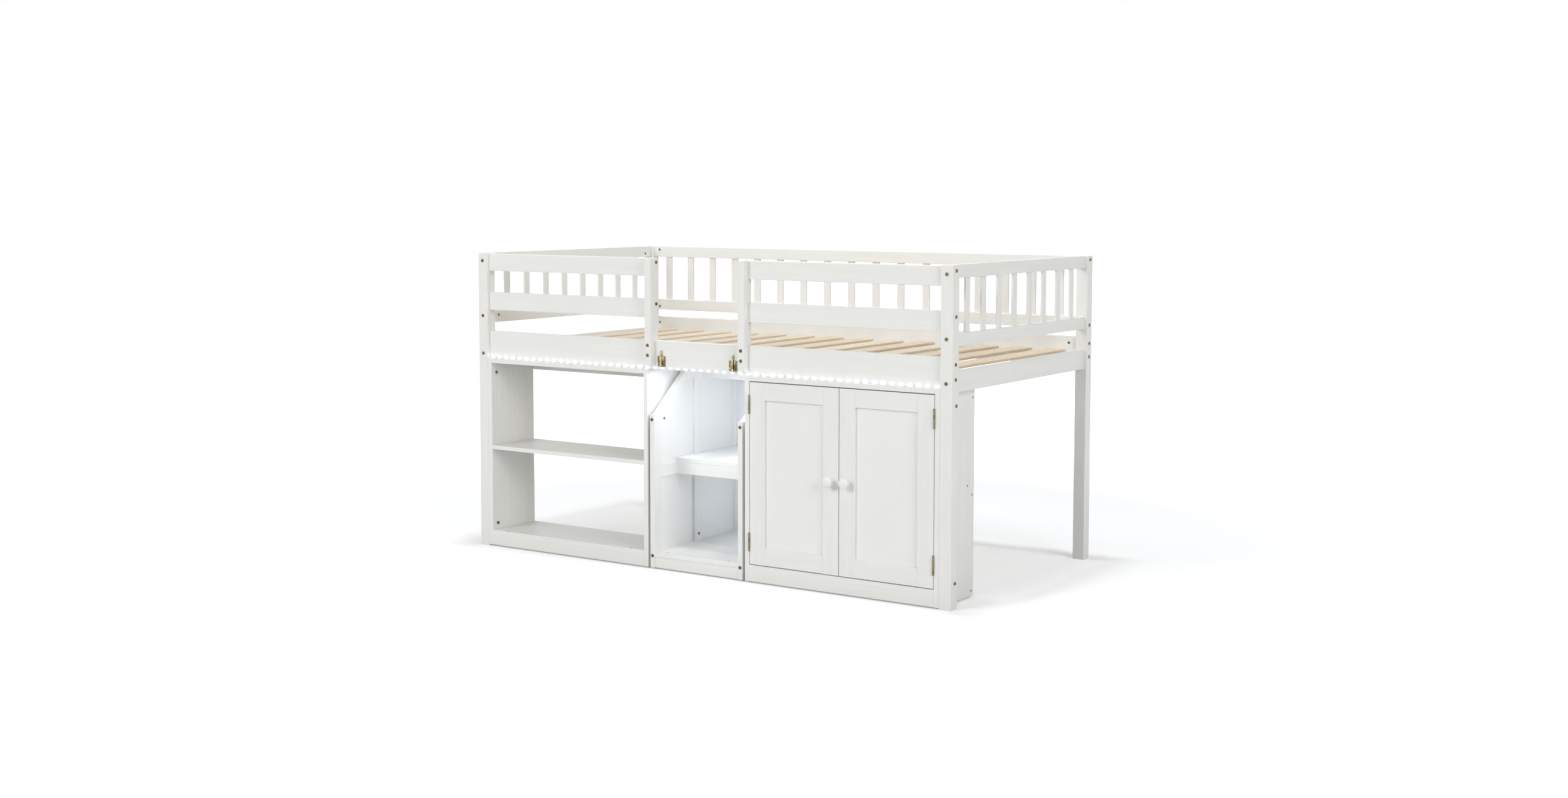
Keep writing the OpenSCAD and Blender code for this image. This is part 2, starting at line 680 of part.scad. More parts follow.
// A door stands on z = 0 with its hinged edge at x = 0 and its front at y = 0
module door_frame() {
    for (x = [0, door_w - stile_w]) difference() {
        translate([x, 0, 0]) board_z([stile_w, door_t, door_h], 1);
        door_groove();
    }
    for (z = [0, door_h - stile_w]) difference() {
        union() {
            translate([stile_w, 0, z]) board_x([door_w - 2 * stile_w, door_t, stile_w], 1);
            translate([stile_w - tongue, panel_y, z])
                cube([door_w - 2 * stile_w + 2 * tongue, panel_t, stile_w]);
        }
        door_panel_space();
    }
}
module door_panel_space() translate([stile_w - tongue, panel_y - 0.15, stile_w - tongue])
    cube([door_w - 2 * (stile_w - tongue), groove_t, door_h - 2 * (stile_w - tongue)]);
module door_groove() translate([stile_w - tongue, panel_y - 0.15, -1])
    cube([door_w - 2 * (stile_w - tongue), groove_t, door_h + 2]);
module door_panel() translate([stile_w - tongue, panel_y, stile_w - tongue])
    cube([door_w - 2 * (stile_w - tongue), panel_t, door_h - 2 * (stile_w - tongue)]);
module knob() translate([door_w - stile_w / 2, 0, knob_z - door_z]) rotate([90, 0, 0])
    rotate_extrude() knob_profile();
// Half outline of the knob: a foot, a neck and a domed head
module knob_profile() {
    dome = 24;
    square([knob_r / 2 + 1, 3]);
    square([knob_r / 2 - 2, knob_reach - 12]);
    intersection() {
        translate([0, knob_reach - dome]) circle(r = dome);
        translate([0, knob_reach + 4]) circle(r = dome);
        translate([0, 0]) square([knob_r, knob_reach]);
    }
}

// Butt hinge: its pin stands in front of the gap, and each leaf lies flat in the gap
pin_y = -knuckle_r;
knuckle_h = hinge_l / knuckles;
module leaf(side, kept) {
    x = side > 0 ? 0.15 : -0.15 - leaf_t;
    translate([x, 0.4, 0]) cube([leaf_t, leaf_w, hinge_l]);
    for (k = kept) translate([0, 0, k * knuckle_h + 0.15]) difference() {
        union() {
            translate([0, pin_y, 0]) cylinder(r = knuckle_r, h = knuckle_h - 0.3);
            translate([x, pin_y + pin_r + 0.3, 0])
                cube([leaf_t, knuckle_r - pin_r + 0.2, knuckle_h - 0.3]);
        }
        translate([0, pin_y, -1]) cylinder(r = pin_r + 0.05, h = knuckle_h + 2);
    }
}
hinge_zs = [door_z + hinge_end - hinge_l / 2, door_z + door_h - hinge_end - hinge_l / 2];
module at_left_hinge() for (z = hinge_zs)
    translate([left_door_x - hinge_gap / 2, 0, z]) children();
module at_right_hinge() for (z = hinge_zs)
    translate([right_door_x + hinge_gap / 2, 0, z]) mirror([1, 0, 0]) children();
module hinge_frame_leaves() place() color(brass) {
    at_left_hinge() leaf(-1, [0, 2, 4]);
    at_right_hinge() leaf(-1, [0, 2, 4]);
}
module hinge_pin() translate([0, pin_y, 0]) {
    cylinder(r = pin_r, h = hinge_l);
    for (z = [-1.2, hinge_l]) translate([0, 0, z]) cylinder(r = pin_r + 0.8, h = 1.2);
}
module hinge_pins() place() color(brass) {
    at_left_hinge() hinge_pin();
    at_right_hinge() hinge_pin();
}

module at_left_door() translate([left_door_x, 0, door_z]) children();
module at_right_door() translate([right_door_x, 0, door_z]) mirror([1, 0, 0]) children();
module left_door_frame() place() color(white) at_left_door() door_frame();
module left_door_panel() place() color(white) at_left_door() door_panel();
module left_knob() place() color(white) at_left_door() knob();
module left_hinge_leaves() place() color(brass) at_left_hinge() leaf(1, [1, 3]);
module right_door_frame() place() color(white) at_right_door() door_frame();
module right_door_panel() place() color(white) at_right_door() door_panel();
module right_knob() place() color(white) at_right_door() knob();
module right_hinge_leaves() place() color(brass) at_right_hinge() leaf(1, [1, 3]);

// ---- staircase ----

// Outlines of the panels in a side frame, [depth, height], with the edge that the frame holds
panel_outlines = [
    box_outline(upright_d, mid_y, floor_z, rail2_z),
    box_outline(step3_y, rear_y, floor_z, rail2_z),
    box_outline(step3_y, rear_y, rail2_top, top_side_z),
    [[upright_d - panel_hold, rail2_top - panel_hold],
     [mid_y + panel_hold, rail2_top - panel_hold],
     [mid_y + panel_hold, top_side_z + panel_hold],
     [mitre_y, top_side_z + panel_hold],
     [upright_d - panel_hold, slope_z(upright_d - panel_hold) - slope_v + panel_hold]]
];
function box_outline(y0, y1, z0, z1) = [
    [y0 - panel_hold, z0 - panel_hold], [y1 + panel_hold, z0 - panel_hold],
    [y1 + panel_hold, z1 + panel_hold], [y0 - panel_hold, z1 + panel_hold]];
module side_panels(extra) for (p = panel_outlines)
    translate([stair_panel_x - extra, 0, 0]) side_shape(p, panel_t + 2 * extra);

module both_stair_sides() translate([stair_x, 0, 0]) {
    children();
    translate([stair_w, 0, 0]) mirror([1, 0, 0]) children();
}

slope_bolt_z = upright_h - 18;                   // bolt into the sloping board
foot_bolt_z = floor_z - 15;                      // bolt into the bottom side rail
mid_bolt_y = mid_y + mid_upright_d / 2;
stair_nut_y = upright_d + 18;
mid_nut_z = floor_z + 25;
module stair_bores() {
    for (z = [slope_bolt_z, foot_bolt_z]) {
        translate([side_t / 2, -1, z]) rod_y(bolt_r + slack, stair_nut_y + 11);
        translate([4, stair_nut_y, z]) rod_x(nut_r + 0.1, side_t);
    }
    translate([side_t / 2, mid_bolt_y, glide_h - 1]) cylinder(r = bolt_r + slack, h = mid_nut_z + 6);
    translate([side_t / 2, mid_bolt_y, glide_h - 1]) cylinder(r = head_r + slack, h = head_h + 1.5);
    translate([4, mid_bolt_y, mid_nut_z]) rod_x(nut_r + 0.1, side_t);
}
module framed(points) difference() {
    side_shape(points, side_t);
    side_panels(0.15);
    stair_bores();
}
function box_points(y0, y1, z0, z1) = [[y0, z0], [y1, z0], [y1, z1], [y0, z1]];
module stair_uprights() place() color(white) both_stair_sides() {
    framed([[0, glide_h], [upright_d, glide_h], [upright_d, slope_z(upright_d)],
            [slope_start_y, upright_h], [0, upright_h]]);
    framed(box_points(mid_y, step3_y, floor_z, rail2_z));
    framed(box_points(mid_y, step3_y, rail2_top, top_side_z));
    framed(box_points(rear_y, frame_back, glide_h, stair_h));
}
module stair_side_rails() place() color(white) both_stair_sides() {
    framed(box_points(upright_d, rear_y, glide_h, floor_z));
    framed(box_points(upright_d, rear_y, rail2_z, rail2_top));
    framed([[mitre_y, top_side_z], [rear_y, top_side_z], [rear_y, stair_h], [slope_end_y, stair_h]]);
    framed([[upright_d, slope_z(upright_d) - slope_v], [mitre_y, top_side_z],
            [slope_end_y, stair_h], [upright_d, slope_z(upright_d)]]);
}
module stair_side_panels() place() color(white) both_stair_sides() side_panels(0);

// A board across the staircase between its side frames
module stair_board(y, z, d, t, r = 1)
    translate([stair_x + side_t, y, z]) board_x([stair_in, d, t], r);
ledge = side_t - stair_panel_x - panel_t;        // width of the middle rails' ledge inside the panels
module second_tread() {
    stair_board(step2_y, rail2_top, frame_back - step2_y, tread_t, 2);
    both_stair_sides() for (y = [[step2_y, mid_y], [step3_y, rear_y]])
        translate([side_t - ledge + slack, y[0] + slack, rail2_top])
            cube([ledge, y[1] - y[0] - 2 * slack, tread_t]);
}
module stair_treads() place() color(white) difference() {
    union() {
        stair_board(0, floor_z - board_t, frame_back, board_t);
        second_tread();
        stair_board(step3_y, stair_h - tread_t, frame_back - step3_y, tread_t, 2);
    }
    stair_screw_places() screw_hole(34);
    for (x = rod_xs) translate([x, strike_y, stair_h - tread_t - 1])
        cylinder(r = rod_r + 0.6, h = tread_t + 2);
}
plinth_back = 3;                                 // the plinth stands back under the bottom step
module stair_risers() place() color(white) difference() {
    union() {
        stair_board(plinth_back, glide_h, board_t, plinth_h);
        stair_board(step2_y, rail2_z, board_t, riser_h);
        stair_board(step3_y, stair_h - tread_t - riser_h + 12, board_t, riser_h - 12);
    }
    stair_screw_places() screw_hole(34);
}
module stair_back() place() color(white)
    translate([stair_x, frame_back, glide_h]) cube([stair_w, back_t, stair_h - glide_h]);
module stair_screw_places() for (dx = [stair_w / 6, stair_w * 5 / 6]) {
    translate([stair_x + dx, plinth_back + board_t / 2, floor_z]) children();
    translate([stair_x + dx, step2_y + board_t / 2, step2_z]) children();
    translate([stair_x + dx, step3_y + board_t / 2, stair_h]) children();
}
module stair_glides() place() color(plastic) both_stair_sides()
    for (y = [20, frame_back - 20]) translate([side_t / 2, y, 0]) glide();
module stair_nut() difference() {
    rod_x(nut_r, side_t - 5);
    translate([side_t / 2 - 5, -nut_r - 1, 0]) rod_y(bolt_r + 0.1, 2 * nut_r + 2);
    translate([side_t - 6, -nut_r - 1, -0.6]) cube([2, 2 * nut_r + 2, 1.2]);
}
module stair_fixings() place() color(bronze) {
    both_stair_sides() {
        for (z = [slope_bolt_z, foot_bolt_z]) {
            translate([side_t / 2, 0, z]) rotate([0, 0, 90]) bolt(stair_nut_y + nut_r + 3);
            translate([5, stair_nut_y, z]) stair_nut();
        }
        translate([side_t / 2, mid_bolt_y, glide_h + head_h]) rotate([0, -90, 0])
            bolt(mid_nut_z - glide_h - head_h + nut_r);
        translate([5, mid_bolt_y, mid_nut_z]) rotate([90, 0, 0]) stair_nut();
    }
    stair_screw_places() screw(33);
}

// ---- tower bolts that hold the pulled-out staircase ----

guide_h = 6;                                     // height of the slotted guide at the plate's foot
bridge_z = latch_zs + 20;                        // underside of the bridge over the rod
module tower_bolt_guide(x, z, h) translate([x, 0, z]) {
    translate([0, barrel_y, 0]) cylinder(r = barrel_r, h = h);
    translate([-barrel_r, barrel_y, 0]) cube([2 * barrel_r, setback - latch_plate_t / 2 - barrel_y, h]);
}
module tower_bolt_plate(x) difference() {
    union() {
        translate([x - latch_w / 2, setback, latch_zs]) rotate([90, 0, 0])
            linear_extrude(latch_plate_t) eased_rect(latch_w, latch_h, 2);
        tower_bolt_guide(x, latch_zs, guide_h);
        tower_bolt_guide(x, bridge_z, latch_zs + latch_h - bridge_z - 1);
    }
    translate([x, barrel_y, latch_zs - 1]) cylinder(r = rod_r + 0.08, h = latch_h + 2);
    translate([x - 2.4, barrel_y - barrel_r - 1, latch_zs - 1]) cube([4.8, barrel_r + 1, guide_h + 2]);
    plate_screw_places(x) screw_hole(plate_screw_l, small_screw_r);
}
// Screws through a tower bolt's plate, from the front
module plate_screw_places(x) for (dx = [-1, 1], z = [8, latch_h - 8])
    translate([x + dx * (latch_w / 2 - 6), setback - latch_plate_t, latch_zs + z])
        rotate([90, 0, 0]) children();
module tower_bolt_plates() place() color(brass) for (x = rod_xs) tower_bolt_plate(x);
module tower_bolt_rod(x) place() color(brass) {
    translate([x, barrel_y, rod_rest_z]) cylinder(r = rod_r, h = rod_l - rod_r);
    translate([x, barrel_y, rod_rest_z + rod_l - rod_r]) sphere(r = rod_r);
    translate([x, barrel_y - grip_reach, grip_z]) rod_y(2, grip_reach);
    translate([x, barrel_y - grip_reach, grip_z]) sphere(r = 3.4);
}
module left_tower_bolt_rod() tower_bolt_rod(rod_xs[0]);
module right_tower_bolt_rod() tower_bolt_rod(rod_xs[1]);

front_left_post();
front_right_post();
back_left_post();
back_right_post();
front_side_rail();
back_side_rail();
back_top_rail();
back_mid_rail();
end_top_rails();
end_mid_rails();
end_low_rails();
guard_top_rails();
guard_mid_rails();
left_guard_post();
right_guard_post();
end_bars();
back_bars();
slat_cleats();
mattress_slats();
led_tape();
led_chips();
frame_bolts();
barrel_nuts();
dowels();
wood_screws();
bookcase_sides();
bookcase_top();
bookcase_shelf();
bookcase_floor();
bookcase_plinth();
bookcase_stretchers();
cabinet_sides();
cabinet_top();
cabinet_shelf();
cabinet_floor();
cabinet_plinth();
cabinet_stretchers();
cabinet_back();
unit_glides();
hinge_frame_leaves();
hinge_pins();
tower_bolt_plates();
left_door_frame();
left_door_panel();
left_knob();
left_hinge_leaves();
right_door_frame();
right_door_panel();
right_knob();
right_hinge_leaves();
stair_uprights();
stair_side_rails();
stair_side_panels();
stair_treads();
stair_risers();
stair_back();
stair_glides();
stair_fixings();
left_tower_bolt_rod();
right_tower_bolt_rod();
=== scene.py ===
# %% [markdown]
# # Dressing a cabin bed
#
# The bed was drawn first as exact solids: posts, rails, boards, doors, a pull-out
# staircase, bolts. This lesson gives those solids their finishes, models the small
# turned, pressed and moulded pieces that need more than plain solids, and lights the
# whole as in a product photograph. Everything is in metres, +Z up, front towards -Y.

# %% Load the solids
import math

import bmesh
import bpy
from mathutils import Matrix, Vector


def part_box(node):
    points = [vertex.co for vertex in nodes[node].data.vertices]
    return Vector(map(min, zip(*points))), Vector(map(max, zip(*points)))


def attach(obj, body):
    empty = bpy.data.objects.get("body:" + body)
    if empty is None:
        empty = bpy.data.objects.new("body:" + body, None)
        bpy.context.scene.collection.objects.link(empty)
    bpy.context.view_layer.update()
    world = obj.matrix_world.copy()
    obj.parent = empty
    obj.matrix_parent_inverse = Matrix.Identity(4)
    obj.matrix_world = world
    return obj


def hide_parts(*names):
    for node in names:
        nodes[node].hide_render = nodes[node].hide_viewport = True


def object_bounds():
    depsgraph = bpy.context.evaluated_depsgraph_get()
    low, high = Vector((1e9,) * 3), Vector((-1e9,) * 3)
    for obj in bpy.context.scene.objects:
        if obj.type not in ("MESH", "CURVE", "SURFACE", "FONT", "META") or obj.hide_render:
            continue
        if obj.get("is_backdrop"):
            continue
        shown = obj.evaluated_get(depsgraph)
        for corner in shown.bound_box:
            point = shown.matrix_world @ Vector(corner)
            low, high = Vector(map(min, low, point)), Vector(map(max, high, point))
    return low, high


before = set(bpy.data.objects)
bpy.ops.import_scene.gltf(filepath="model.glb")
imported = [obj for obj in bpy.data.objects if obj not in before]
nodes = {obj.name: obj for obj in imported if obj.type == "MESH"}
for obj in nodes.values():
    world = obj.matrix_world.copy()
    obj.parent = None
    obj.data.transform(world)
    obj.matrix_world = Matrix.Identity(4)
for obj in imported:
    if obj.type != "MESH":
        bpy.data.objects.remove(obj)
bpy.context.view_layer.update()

# %% [markdown]
# ## The corner that the bed was measured from
#
# The drawing starts at the front left corner post. Its corner is read from the loaded
# post, so what hangs by it later, such as the lamps in the staircase, stays right if
# the drawing moves.

# %% The corner
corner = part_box("front_left_post")[0]
bed_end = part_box("front_right_post")[1]
print("length over the posts:", round(bed_end.x - corner.x, 3))

# %% [markdown]
# ## Tools for modelling by hand
#
# Operators work on whatever is selected, and the loaded solids arrive selected. So each
# new piece begins with nothing selected, and faces or edges are then picked by where
# they lie or which way they face. A finished piece has its place applied to its mesh.


# %% Picking and finishing
def deselect():
    bpy.ops.object.select_all(action="DESELECT")


def edit(piece, kind="FACE"):
    """Opens one piece for editing, with nothing picked in it."""
    deselect()
    piece.select_set(True)
    bpy.context.view_layer.objects.active = piece
    bpy.ops.object.mode_set(mode="EDIT")
    bpy.ops.mesh.select_mode(type=kind)
    bpy.ops.mesh.select_all(action="DESELECT")


def pick_faces(test):
    """Picks the faces whose middle and normal pass the test."""
    shape = bmesh.from_edit_mesh(bpy.context.object.data)
    for face in shape.faces:
        face.select_set(bool(test(face.calc_center_median(), face.normal)))
    bmesh.update_edit_mesh(bpy.context.object.data)


def pick_edges(test):
    """Picks the edges whose middle and direction pass the test."""
    shape = bmesh.from_edit_mesh(bpy.context.object.data)
    for edge in shape.edges:
        a, b = (vert.co for vert in edge.verts)
        edge.select_set(bool(test((a + b) / 2, (b - a).normalized())))
    bmesh.update_edit_mesh(bpy.context.object.data)


def extrude(*way):
    """Extrudes what is picked, by the given way."""
    bpy.ops.mesh.extrude_region_move(TRANSFORM_OT_translate={"value": way})


def close_edit(smooth_angle=35):
    """Leaves edit mode with the faces outwards and the curved ones smooth."""
    bpy.ops.mesh.select_all(action="SELECT")
    bpy.ops.mesh.remove_doubles(threshold=0.000002)
    bpy.ops.mesh.normals_make_consistent(inside=False)
    bpy.ops.object.mode_set(mode="OBJECT")
    bpy.ops.object.shade_smooth_by_angle(angle=math.radians(smooth_angle))


def settle(piece, place=(0, 0, 0), turn=(0, 0, 0)):
    """Puts a piece in place and applies that to its mesh."""
    deselect()
    piece.select_set(True)
    bpy.context.view_layer.objects.active = piece
    piece.location = Vector(place)
    piece.rotation_euler = [math.radians(angle) for angle in turn]
    bpy.ops.object.transform_apply(location=True, rotation=True, scale=True)
    return piece


def copy_of(piece, name):
    """A copy with a mesh of its own."""
    twin = piece.copy()
    twin.data = piece.data.copy()
    twin.name = name
    bpy.context.scene.collection.objects.link(twin)
    return twin


def join(pieces, name):
    """Makes one object of several pieces."""
    deselect()
    for piece in pieces:
        piece.select_set(True)
    bpy.context.view_layer.objects.active = pieces[0]
    bpy.ops.object.join()
    bpy.context.object.name = name
    return bpy.context.object


def apply_modifier(piece, kind, **settings):
    """Adds a modifier, sets it up and applies it."""
    deselect()
    piece.select_set(True)
    bpy.context.view_layer.objects.active = piece
    modifier = piece.modifiers.new(kind.lower(), kind)
    for key, value in settings.items():
        setattr(modifier, key, value)
    bpy.ops.object.modifier_apply(modifier=modifier.name)


# %% [markdown]
# ## Tools for materials
#
# A procedural material is a small net of nodes. One helper adds a node and fills or
# links its sockets by name, which keeps each recipe readable. What several finishes
# share is a node group, as a maker would keep one tin of lacquer for all the boards.


# %% Nodes and groups
def wire(tree, node, sockets):
    """Fills a node's sockets: a plain value is set, and an output is linked."""
    for key, value in sockets.items():
        if isinstance(value, bpy.types.NodeSocket):
            tree.links.new(value, node.inputs[key])
        else:
            node.inputs[key].default_value = value


def add(tree, kind, sockets=None, **settings):
    """Adds a node, with its settings and what goes into its sockets."""
    node = tree.nodes.new("ShaderNode" + kind)
    for key, value in settings.items():
        setattr(node, key, value)
    wire(tree, node, sockets or {})
    return node


def calc(tree, operation, *values):
    """A math node on numbers or outputs, as its one output."""
    return add(tree, "Math", dict(enumerate(values)), operation=operation).outputs[0]


def blend(tree, share, first, second):
    """The mix of two colours, by a share from 0 to 1."""
    node = add(tree, "Mix", {"Factor": share}, data_type="RGBA")
    for socket, value in ((node.inputs[6], first), (node.inputs[7], second)):
        if isinstance(value, bpy.types.NodeSocket):
            tree.links.new(value, socket)
        else:
            socket.default_value = (*value, 1)
    return node.outputs[2]


def spread(tree, value, low, high, to_low=0.0, to_high=1.0):
    """Stretches the range low..high of a value to to_low..to_high, smoothly."""
    sockets = {"Value": value, "From Min": low, "From Max": high}
    sockets |= {"To Min": to_low, "To Max": to_high}
    return add(tree, "MapRange", sockets, interpolation_type="SMOOTHSTEP").outputs[0]


def new_group(name, inputs, outputs):
    """An empty node group with its sockets: tree, inputs' node, outputs' node."""
    tree = bpy.data.node_groups.new(name, "ShaderNodeTree")
    for label, kind in inputs.items():
        tree.interface.new_socket(label, in_out="INPUT", socket_type="NodeSocket" + kind)
    for label, kind in outputs.items():
        tree.interface.new_socket(label, in_out="OUTPUT", socket_type="NodeSocket" + kind)
    return tree, tree.nodes.new("NodeGroupInput"), tree.nodes.new("NodeGroupOutput")


def new_material(name, **values):
    """A material with one Principled shader, as (material, tree, shader)."""
    material = bpy.data.materials.new(name)
    material.use_nodes = True
    tree = material.node_tree
    shader = tree.nodes["Principled BSDF"]
    for label, value in values.items():
        shader.inputs[label.replace("_", " ")].default_value = value
    return material, tree, shader


def mapped(tree, scale):
    """Object coordinates, stretched by a scale per axis."""
    place = add(tree, "TexCoord").outputs["Object"]
    return add(tree, "Mapping", {"Vector": place, "Scale": scale}).outputs[0]


def noise(tree, vector, scale=1.0, **sockets):
    """The value of a noise texture."""
    return add(tree, "TexNoise", {"Vector": vector, "Scale": scale} | sockets).outputs[0]


def relief(tree, height, strength, distance, over=None, invert=False):
    """Shallow relief as a normal, laid over another one where that is given."""
    sockets = {"Height": height, "Strength": strength, "Distance": distance}
    if over is not None:
        sockets["Normal"] = over
    return add(tree, "Bump", sockets, invert=invert).outputs[0]


# %% [markdown]
# ## White lacquer over solid wood
#
# The boards are pine or rubberwood under a satin white lacquer. Up close the grain still
# shows as very shallow lines along each board, the sprayed coat has a faint ripple like
# orange peel, and the white drifts a little between warm and cool. The group takes
# coordinates that are already stretched along the board, so that one recipe serves
# boards that run in any direction.

# %% The lacquer group
warm_white, cool_white = (0.820, 0.820, 0.790), (0.845, 0.845, 0.822)
figure_white, pore_white = (0.800, 0.795, 0.755), (0.740, 0.730, 0.690)
lacquer, lacquer_in, lacquer_out = new_group(
    "lacquer over grain",
    {"Along board": "Vector", "Grain": "Float"},
    {"Colour": "Color", "Roughness": "Float", "Normal": "Vector"},
)
along = lacquer_in.outputs["Along board"]
strength = lacquer_in.outputs["Grain"]
place = add(lacquer, "TexCoord").outputs["Object"]
pores = noise(lacquer, along, Detail=5.0, Roughness=0.6)
figure = noise(lacquer, along, 0.16, Detail=3.0, Distortion=0.6)
ripple = noise(lacquer, place, 420.0, Detail=2.0)
drift = noise(lacquer, place, 2.3, Detail=3.0)
lines = calc(lacquer, "MULTIPLY", spread(lacquer, pores, 0.35, 0.7), strength)
broad = calc(lacquer, "MULTIPLY", spread(lacquer, figure, 0.3, 0.7), strength)
tone = blend(lacquer, spread(lacquer, drift, 0.3, 0.7), warm_white, cool_white)
tone = blend(lacquer, calc(lacquer, "MULTIPLY", broad, 0.5), tone, figure_white)
tone = blend(lacquer, calc(lacquer, "MULTIPLY", lines, 0.28), tone, pore_white)
satin = spread(lacquer, drift, 0.2, 0.8, 0.34, 0.44)
dull = calc(lacquer, "ADD", satin, calc(lacquer, "MULTIPLY", lines, 0.08))
grooves = relief(lacquer, lines, 0.35, 0.00012, invert=True)
skin = relief(lacquer, ripple, 0.15, 0.00008, over=grooves)
wire(lacquer, lacquer_out, {"Colour": tone, "Roughness": dull, "Normal": skin})
print("lacquer group:", len(lacquer.nodes), "nodes")

# %% Lacquered boards in three directions
along_length, along_width, upwards = (4, 190, 190), (190, 4, 190), (190, 190, 4)


def coat(tree, shader, along_board, grain=1.0):
    """Lays the lacquer on a shader, over coordinates stretched along the board."""
    paint = add(tree, "Group", {"Along board": along_board, "Grain": grain}, node_tree=lacquer)
    for label, socket in (("Colour", "Base Color"), ("Roughness", "Roughness"), ("Normal", "Normal")):
        tree.links.new(paint.outputs[label], shader.inputs[socket])


def lacquered(name, scale, grain=1.0):
    """White lacquer whose grain runs along the axis with the smallest scale."""
    material, tree, shader = new_material(name, IOR=1.5)
    coat(tree, shader, mapped(tree, scale), grain)
    return material


lacquer_x = lacquered("lacquer_grain_along_length", along_length)
lacquer_y = lacquered("lacquer_grain_along_width", along_width)
lacquer_z = lacquered("lacquer_grain_upright", upwards)
lacquer_plain = lacquered("lacquer_on_smooth_panel", (25, 25, 25), grain=0.12)

# %% [markdown]
# ## Door frames
#
# A door frame has upright stiles and level rails between them, so its grain changes
# direction at the joints. Both are in one solid, so the material itself decides by the
# distance from the door's middle: on the stiles the grain stands up, between them it
# lies level.

# %% Lacquer that turns at the door joints
door_low, door_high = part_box("left_door_frame")
stile_width = 0.060


def framed_lacquer(name, low, high):
    """Lacquer for a framed door between two corners."""
    material, tree, shader = new_material(name, IOR=1.5)
    place = add(tree, "TexCoord").outputs["Object"]
    x = add(tree, "SeparateXYZ", {"Vector": place}).outputs["X"]
    from_middle = calc(tree, "ABSOLUTE", calc(tree, "SUBTRACT", x, (low.x + high.x) / 2))
    on_stile = calc(tree, "GREATER_THAN", from_middle, (high.x - low.x) / 2 - stile_width)
    either = add(tree, "Mix", {"Factor": on_stile}, data_type="VECTOR")
    tree.links.new(mapped(tree, along_length), either.inputs[4])
    tree.links.new(mapped(tree, upwards), either.inputs[5])
    coat(tree, shader, either.outputs[1])
    return material


left_door_lacquer = framed_lacquer("lacquer_left_door", *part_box("left_door_frame"))
right_door_lacquer = framed_lacquer("lacquer_right_door", *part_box("right_door_frame"))
print("door width:", round(door_high.x - door_low.x, 4))

# %% [markdown]
# ## Bare pine slats
#
# The slats are planed pine without any finish. A plank cut from a log shows the year
# rings as long arches: pale early wood that darkens to an amber line. The rings are
# tubes round a pith that lies a little below each slat and slightly askew to it, so
# the distance from that line, cut into bands, draws them. Each slat gets its own pith
# by its number along the bed, and a few knots interrupt the grain.

# %% The year rings
slats_low, slats_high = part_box("mattress_slats")
slat_count, slat_width = 14, 0.080
slat_pitch = (slats_high.x - slats_low.x - slat_width) / (slat_count - 1)
rings_per_metre = 230.0
pine, pine_in, pine_out = new_group(
    "pine year rings",
    {"Place": "Vector"},
    {"Rings": "Float", "Own": "Float", "Knot": "Float"},
)
place = pine_in.outputs["Place"]
part = add(pine, "SeparateXYZ", {"Vector": place})
from_first = calc(pine, "SUBTRACT", part.outputs["X"], slats_low.x + slat_width / 2)
number = calc(pine, "ROUND", calc(pine, "DIVIDE", from_first, slat_pitch))
across = calc(pine, "SUBTRACT", from_first, calc(pine, "MULTIPLY", number, slat_pitch))
own = add(pine, "TexWhiteNoise", {"W": number}, noise_dimensions="1D")
own_parts = add(pine, "SeparateColor", {"Color": own.outputs["Color"]})
pith_x = spread(pine, own_parts.outputs[0], 0, 1, -0.045, 0.045)
pith_z = spread(pine, own_parts.outputs[1], 0, 1, 0.020, 0.075)
along_slat = add(pine, "CombineXYZ", {"X": number, "Y": part.outputs["Y"]}).outputs[0]
sway = noise(pine, along_slat, 1.7, Detail=2.0)
lean = calc(pine, "MULTIPLY", calc(pine, "SUBTRACT", sway, 0.5), 0.085)
off_pith = calc(pine, "SUBTRACT", across, pith_x)
side = calc(pine, "ADD", off_pith, calc(pine, "MULTIPLY", lean, 0.3))
above = calc(pine, "SUBTRACT", part.outputs["Z"], slats_low.z - 0.01)
depth = calc(pine, "ADD", above, calc(pine, "ADD", pith_z, lean))
side_squared = calc(pine, "MULTIPLY", side, side)
depth_squared = calc(pine, "MULTIPLY", depth, depth)
radius = calc(pine, "SQRT", calc(pine, "ADD", side_squared, depth_squared))
stretched = add(pine, "Mapping", {"Vector": place, "Scale": (60, 5, 60)}).outputs[0]
wobble = calc(pine, "MULTIPLY", noise(pine, stretched, Detail=3.0), 0.0030)
year = calc(pine, "MULTIPLY", calc(pine, "ADD", radius, wobble), rings_per_metre)
season = calc(pine, "FRACT", year)
late_wood = calc(pine, "POWER", season, 2.2)
year_end = calc(pine, "SUBTRACT", 1.0, spread(pine, season, 0.88, 1.0))
rings = calc(pine, "MULTIPLY", late_wood, year_end)
cells = {
    "X": calc(pine, "MULTIPLY", number, 7.3),
    "Y": calc(pine, "MULTIPLY", part.outputs["Y"], 3.1),
    "Z": calc(pine, "MULTIPLY", across, 6.0),
}
spots = add(pine, "TexVoronoi", {"Vector": add(pine, "CombineXYZ", cells).outputs[0], "Scale": 1.0})
spot_draw = add(pine, "SeparateColor", {"Color": spots.outputs["Color"]}).outputs[0]
kept = calc(pine, "GREATER_THAN", spot_draw, 0.55)
knot = calc(pine, "MULTIPLY", spread(pine, spots.outputs["Distance"], 0.085, 0.03), kept)
wire(pine, pine_out, {"Rings": rings, "Own": own_parts.outputs[2], "Knot": knot})
print("slat spacing:", round(slat_pitch, 4))

